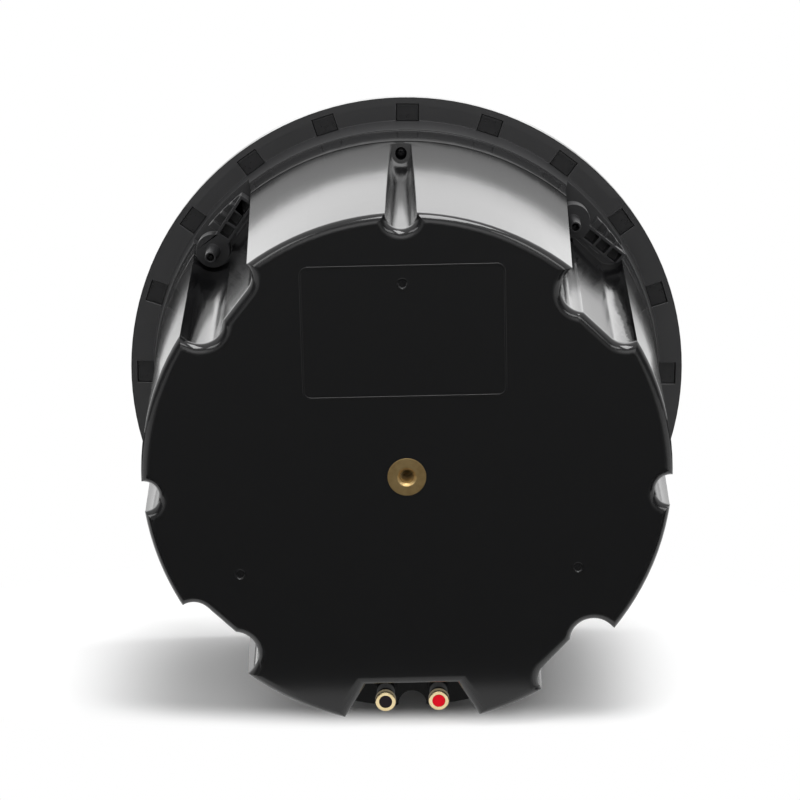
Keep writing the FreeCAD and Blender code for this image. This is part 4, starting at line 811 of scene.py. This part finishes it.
# Table: the speaker lies on its flange and on the rear edge of its can, so the table leans under it
LEAN = math.atan2(0.026, 0.2)
TABLE_Z, TABLE_WIDTH = -0.1492, 8.0
# Shadow kept on the table: its half width, its shift to the left as a share of that, its slant, where its
# near and far ends run out along the table, and how it fades from there
SHADOW_WIDTH, SHADOW_SHIFT, SHADOW_SLANT = 0.29, 0.15, 0.16
SHADOW_NEAR, SHADOW_FAR, SHADOW_FADE = (-0.146, -0.216), (0.0, 0.245), (0.3, 1.0)


def table_paint():
    """White table: it keeps the soft shadow near the speaker, and fades to white away from it."""
    finish, tree, shader, place = new_finish("white_table", "fafafa", 0.9)
    shader["Specular IOR Level"].default_value = 0.0
    spot = add(tree, "ShaderNodeSeparateXYZ", {"Vector": place})
    across = add(tree, "ShaderNodeMath", {0: spot["X"], 1: 1 / SHADOW_WIDTH, 2: SHADOW_SHIFT},
                 operation="MULTIPLY_ADD")
    ahead = add(tree, "ShaderNodeMath", {0: spot["X"], 1: SHADOW_SLANT, 2: spot["Y"]},
                operation="MULTIPLY_ADD")
    before = add(tree, "ShaderNodeMapRange", {"Value": ahead["Value"], "From Min": SHADOW_NEAR[0],
                                              "From Max": SHADOW_NEAR[1]})
    beyond = add(tree, "ShaderNodeMapRange", {"Value": spot["Y"], "From Min": SHADOW_FAR[0],
                                              "From Max": SHADOW_FAR[1]})
    spread = add(tree, "ShaderNodeCombineXYZ", {"X": across["Value"], "Y": before["Result"],
                                                "Z": beyond["Result"]})
    away = add(tree, "ShaderNodeVectorMath", {0: spread["Vector"]}, operation="LENGTH")
    fade = add(tree, "ShaderNodeMapRange", {"Value": away["Value"], "From Min": SHADOW_FADE[0],
                                            "From Max": SHADOW_FADE[1]}, interpolation_type="SMOOTHSTEP")
    ray = add(tree, "ShaderNodeLightPath", {})
    seen = add(tree, "ShaderNodeMath", {0: ray["Is Camera Ray"], 1: ray["Is Glossy Ray"]},
               operation="MAXIMUM")
    seen = add(tree, "ShaderNodeMath", {0: seen["Value"], 1: ray["Is Transmission Ray"]},
               operation="MAXIMUM")
    share = add(tree, "ShaderNodeMath", {0: seen["Value"], 1: fade["Result"]}, operation="MULTIPLY")
    white = add(tree, "ShaderNodeEmission", {"Color": (1, 1, 1, 1), "Strength": 1.0})
    lit = tree.nodes["Principled BSDF"].outputs["BSDF"]
    add(tree, "ShaderNodeMixShader", {0: share["Value"], 1: lit, 2: white["Emission"]},
        {"Shader": tree.nodes["Material Output"].inputs["Surface"]})
    return finish


deselect()
bpy.ops.mesh.primitive_plane_add(size=TABLE_WIDTH, location=(0, 0, TABLE_Z), rotation=(-LEAN, 0, 0))
table = named("table")
paint(table, table_paint())


def as_card(piece, shade):
    """Make a studio card of a piece: an even shade that only reflections see."""
    finish = bpy.data.materials.new(piece.name)
    finish.use_nodes = True
    tree = finish.node_tree
    add(tree, "ShaderNodeEmission", {"Color": (1, 1, 1, 1), "Strength": shade},
        {"Emission": tree.nodes["Material Output"].inputs["Surface"]})
    paint(piece, finish)
    piece.visible_camera = False
    piece.visible_diffuse = False
    piece.visible_shadow = False


def card(name, place, turn, width, height, shade):
    """A flat card at a place, turned and sized."""
    deselect()
    bpy.ops.mesh.primitive_plane_add(size=1.0, location=place, rotation=turn)
    piece = named(name)
    piece.scale = (width, height, 1)
    as_card(piece, shade)


def reflector(name, inner_mm, outer_mm, y_mm, low_z_mm, shade):
    """An arc of card round the flange that only reflections see; it glows to paint a grey reflection on the
    can's wall.
    """
    piece = swept(drawn(name, [(inner_mm, y_mm), (outer_mm, y_mm)]), steps=96)
    edit(piece)
    bpy.ops.mesh.bisect(plane_co=(0, 0, low_z_mm * MM), plane_no=(0, 0, 1), clear_inner=True)
    leave_edit()
    as_card(piece, shade)


# Cards that the glossy mouldings mirror: an arc at the flange that paints a grey reflection on the can's
# wall, dark cloths before and beyond the speaker, a dark card in the recess that paints shade there, a
# bright screen beyond
FLAT_ON_TABLE, UPRIGHT = (-LEAN, 0, 0), (math.radians(90), 0, 0)
# A glowing arc at the flange: a painted grey reflection on the can's wall near the collar
reflector("painted_flange_reflection", inner_mm=143.2, outer_mm=158.0, y_mm=-1.0, low_z_mm=92.0, shade=0.46)
card("dark_cloth", (0, -2.210, 0.147), FLAT_ON_TABLE, width=0.75, height=4.0, shade=0.1)
# A dark card within the recess, seen only in reflections: painted shade on the recess's back wall
card("painted_recess_shade", (0, -0.1795, -0.112), UPRIGHT, width=0.068, height=0.036, shade=0.2)
card("far_cloth", (0, 1.25, -0.3097), FLAT_ON_TABLE, width=8.0, height=2.1, shade=0.12)
card("bright_screen", (0, 2.2, 1.05), UPRIGHT, width=4.5, height=1.7, shade=1.9)


def lamp(name, place, aim, width, height, watts):
    """A soft box aimed at a point."""
    light = bpy.data.lights.new(name, "AREA")
    light.shape = "RECTANGLE"
    light.size = width
    light.size_y = height
    light.energy = watts
    piece = bpy.data.objects.new(name, light)
    bpy.context.scene.collection.objects.link(piece)
    piece.location = place
    piece.rotation_euler = (Vector(aim) - Vector(place)).to_track_quat("-Z", "Y").to_euler()
    piece.visible_camera = False


# Lamps: a large box overhead, a narrow one on each side of the camera and a weak fill behind it
REAR_MIDDLE = (0, -0.15, 0)
lamp("top_box", (0.3, -0.3, 2.0), (0, -0.1, 0), width=1.4, height=0.9, watts=36)
for name, x in (("left_box", -1.0), ("right_box", 1.0)):
    lamp(name, (x, -1.15, 1.15), REAR_MIDDLE, width=0.4, height=0.9, watts=4)
lamp("fill_box", (0.0, -1.8, 0.9), REAR_MIDDLE, width=1.4, height=1.0, watts=7)


def studio_room():
    """White to the eye, with a bright room above and beyond the speaker and a dark one behind the camera."""
    world = bpy.data.worlds.new("studio")
    world.use_nodes = True
    tree = world.node_tree
    way = add(tree, "ShaderNodeTexCoord", {})["Generated"]
    facing = add(tree, "ShaderNodeVectorMath", {0: way, 1: (0.0, 0.9, 1.0)}, operation="DOT_PRODUCT")
    mirrored = add(tree, "ShaderNodeMapRange", {"Value": facing["Value"], "From Min": 0.0, "From Max": 0.5,
                                                "To Min": 0.2, "To Max": 1.0})
    spread = add(tree, "ShaderNodeMapRange", {"Value": facing["Value"], "From Min": -0.6, "From Max": 0.8,
                                              "To Min": 0.1, "To Max": 0.7})
    ray = add(tree, "ShaderNodeLightPath", {})
    lit = add(tree, "ShaderNodeMix", {"Factor": ray["Is Glossy Ray"], "A": spread["Result"],
                                      "B": mirrored["Result"]})
    direct = add(tree, "ShaderNodeMath", {0: ray["Is Camera Ray"], 1: ray["Is Transmission Ray"]},
                 operation="MAXIMUM")
    add(tree, "ShaderNodeMix", {"Factor": direct["Value"], "A": lit["Result"], "B": 1.0},
        {"Result": tree.nodes["Background"].inputs["Strength"]})
    tree.nodes["Background"].inputs["Color"].default_value = (1, 1, 1, 1)
    return world


bpy.context.scene.world = studio_room()
bpy.context.scene.view_settings.view_transform = "Standard"
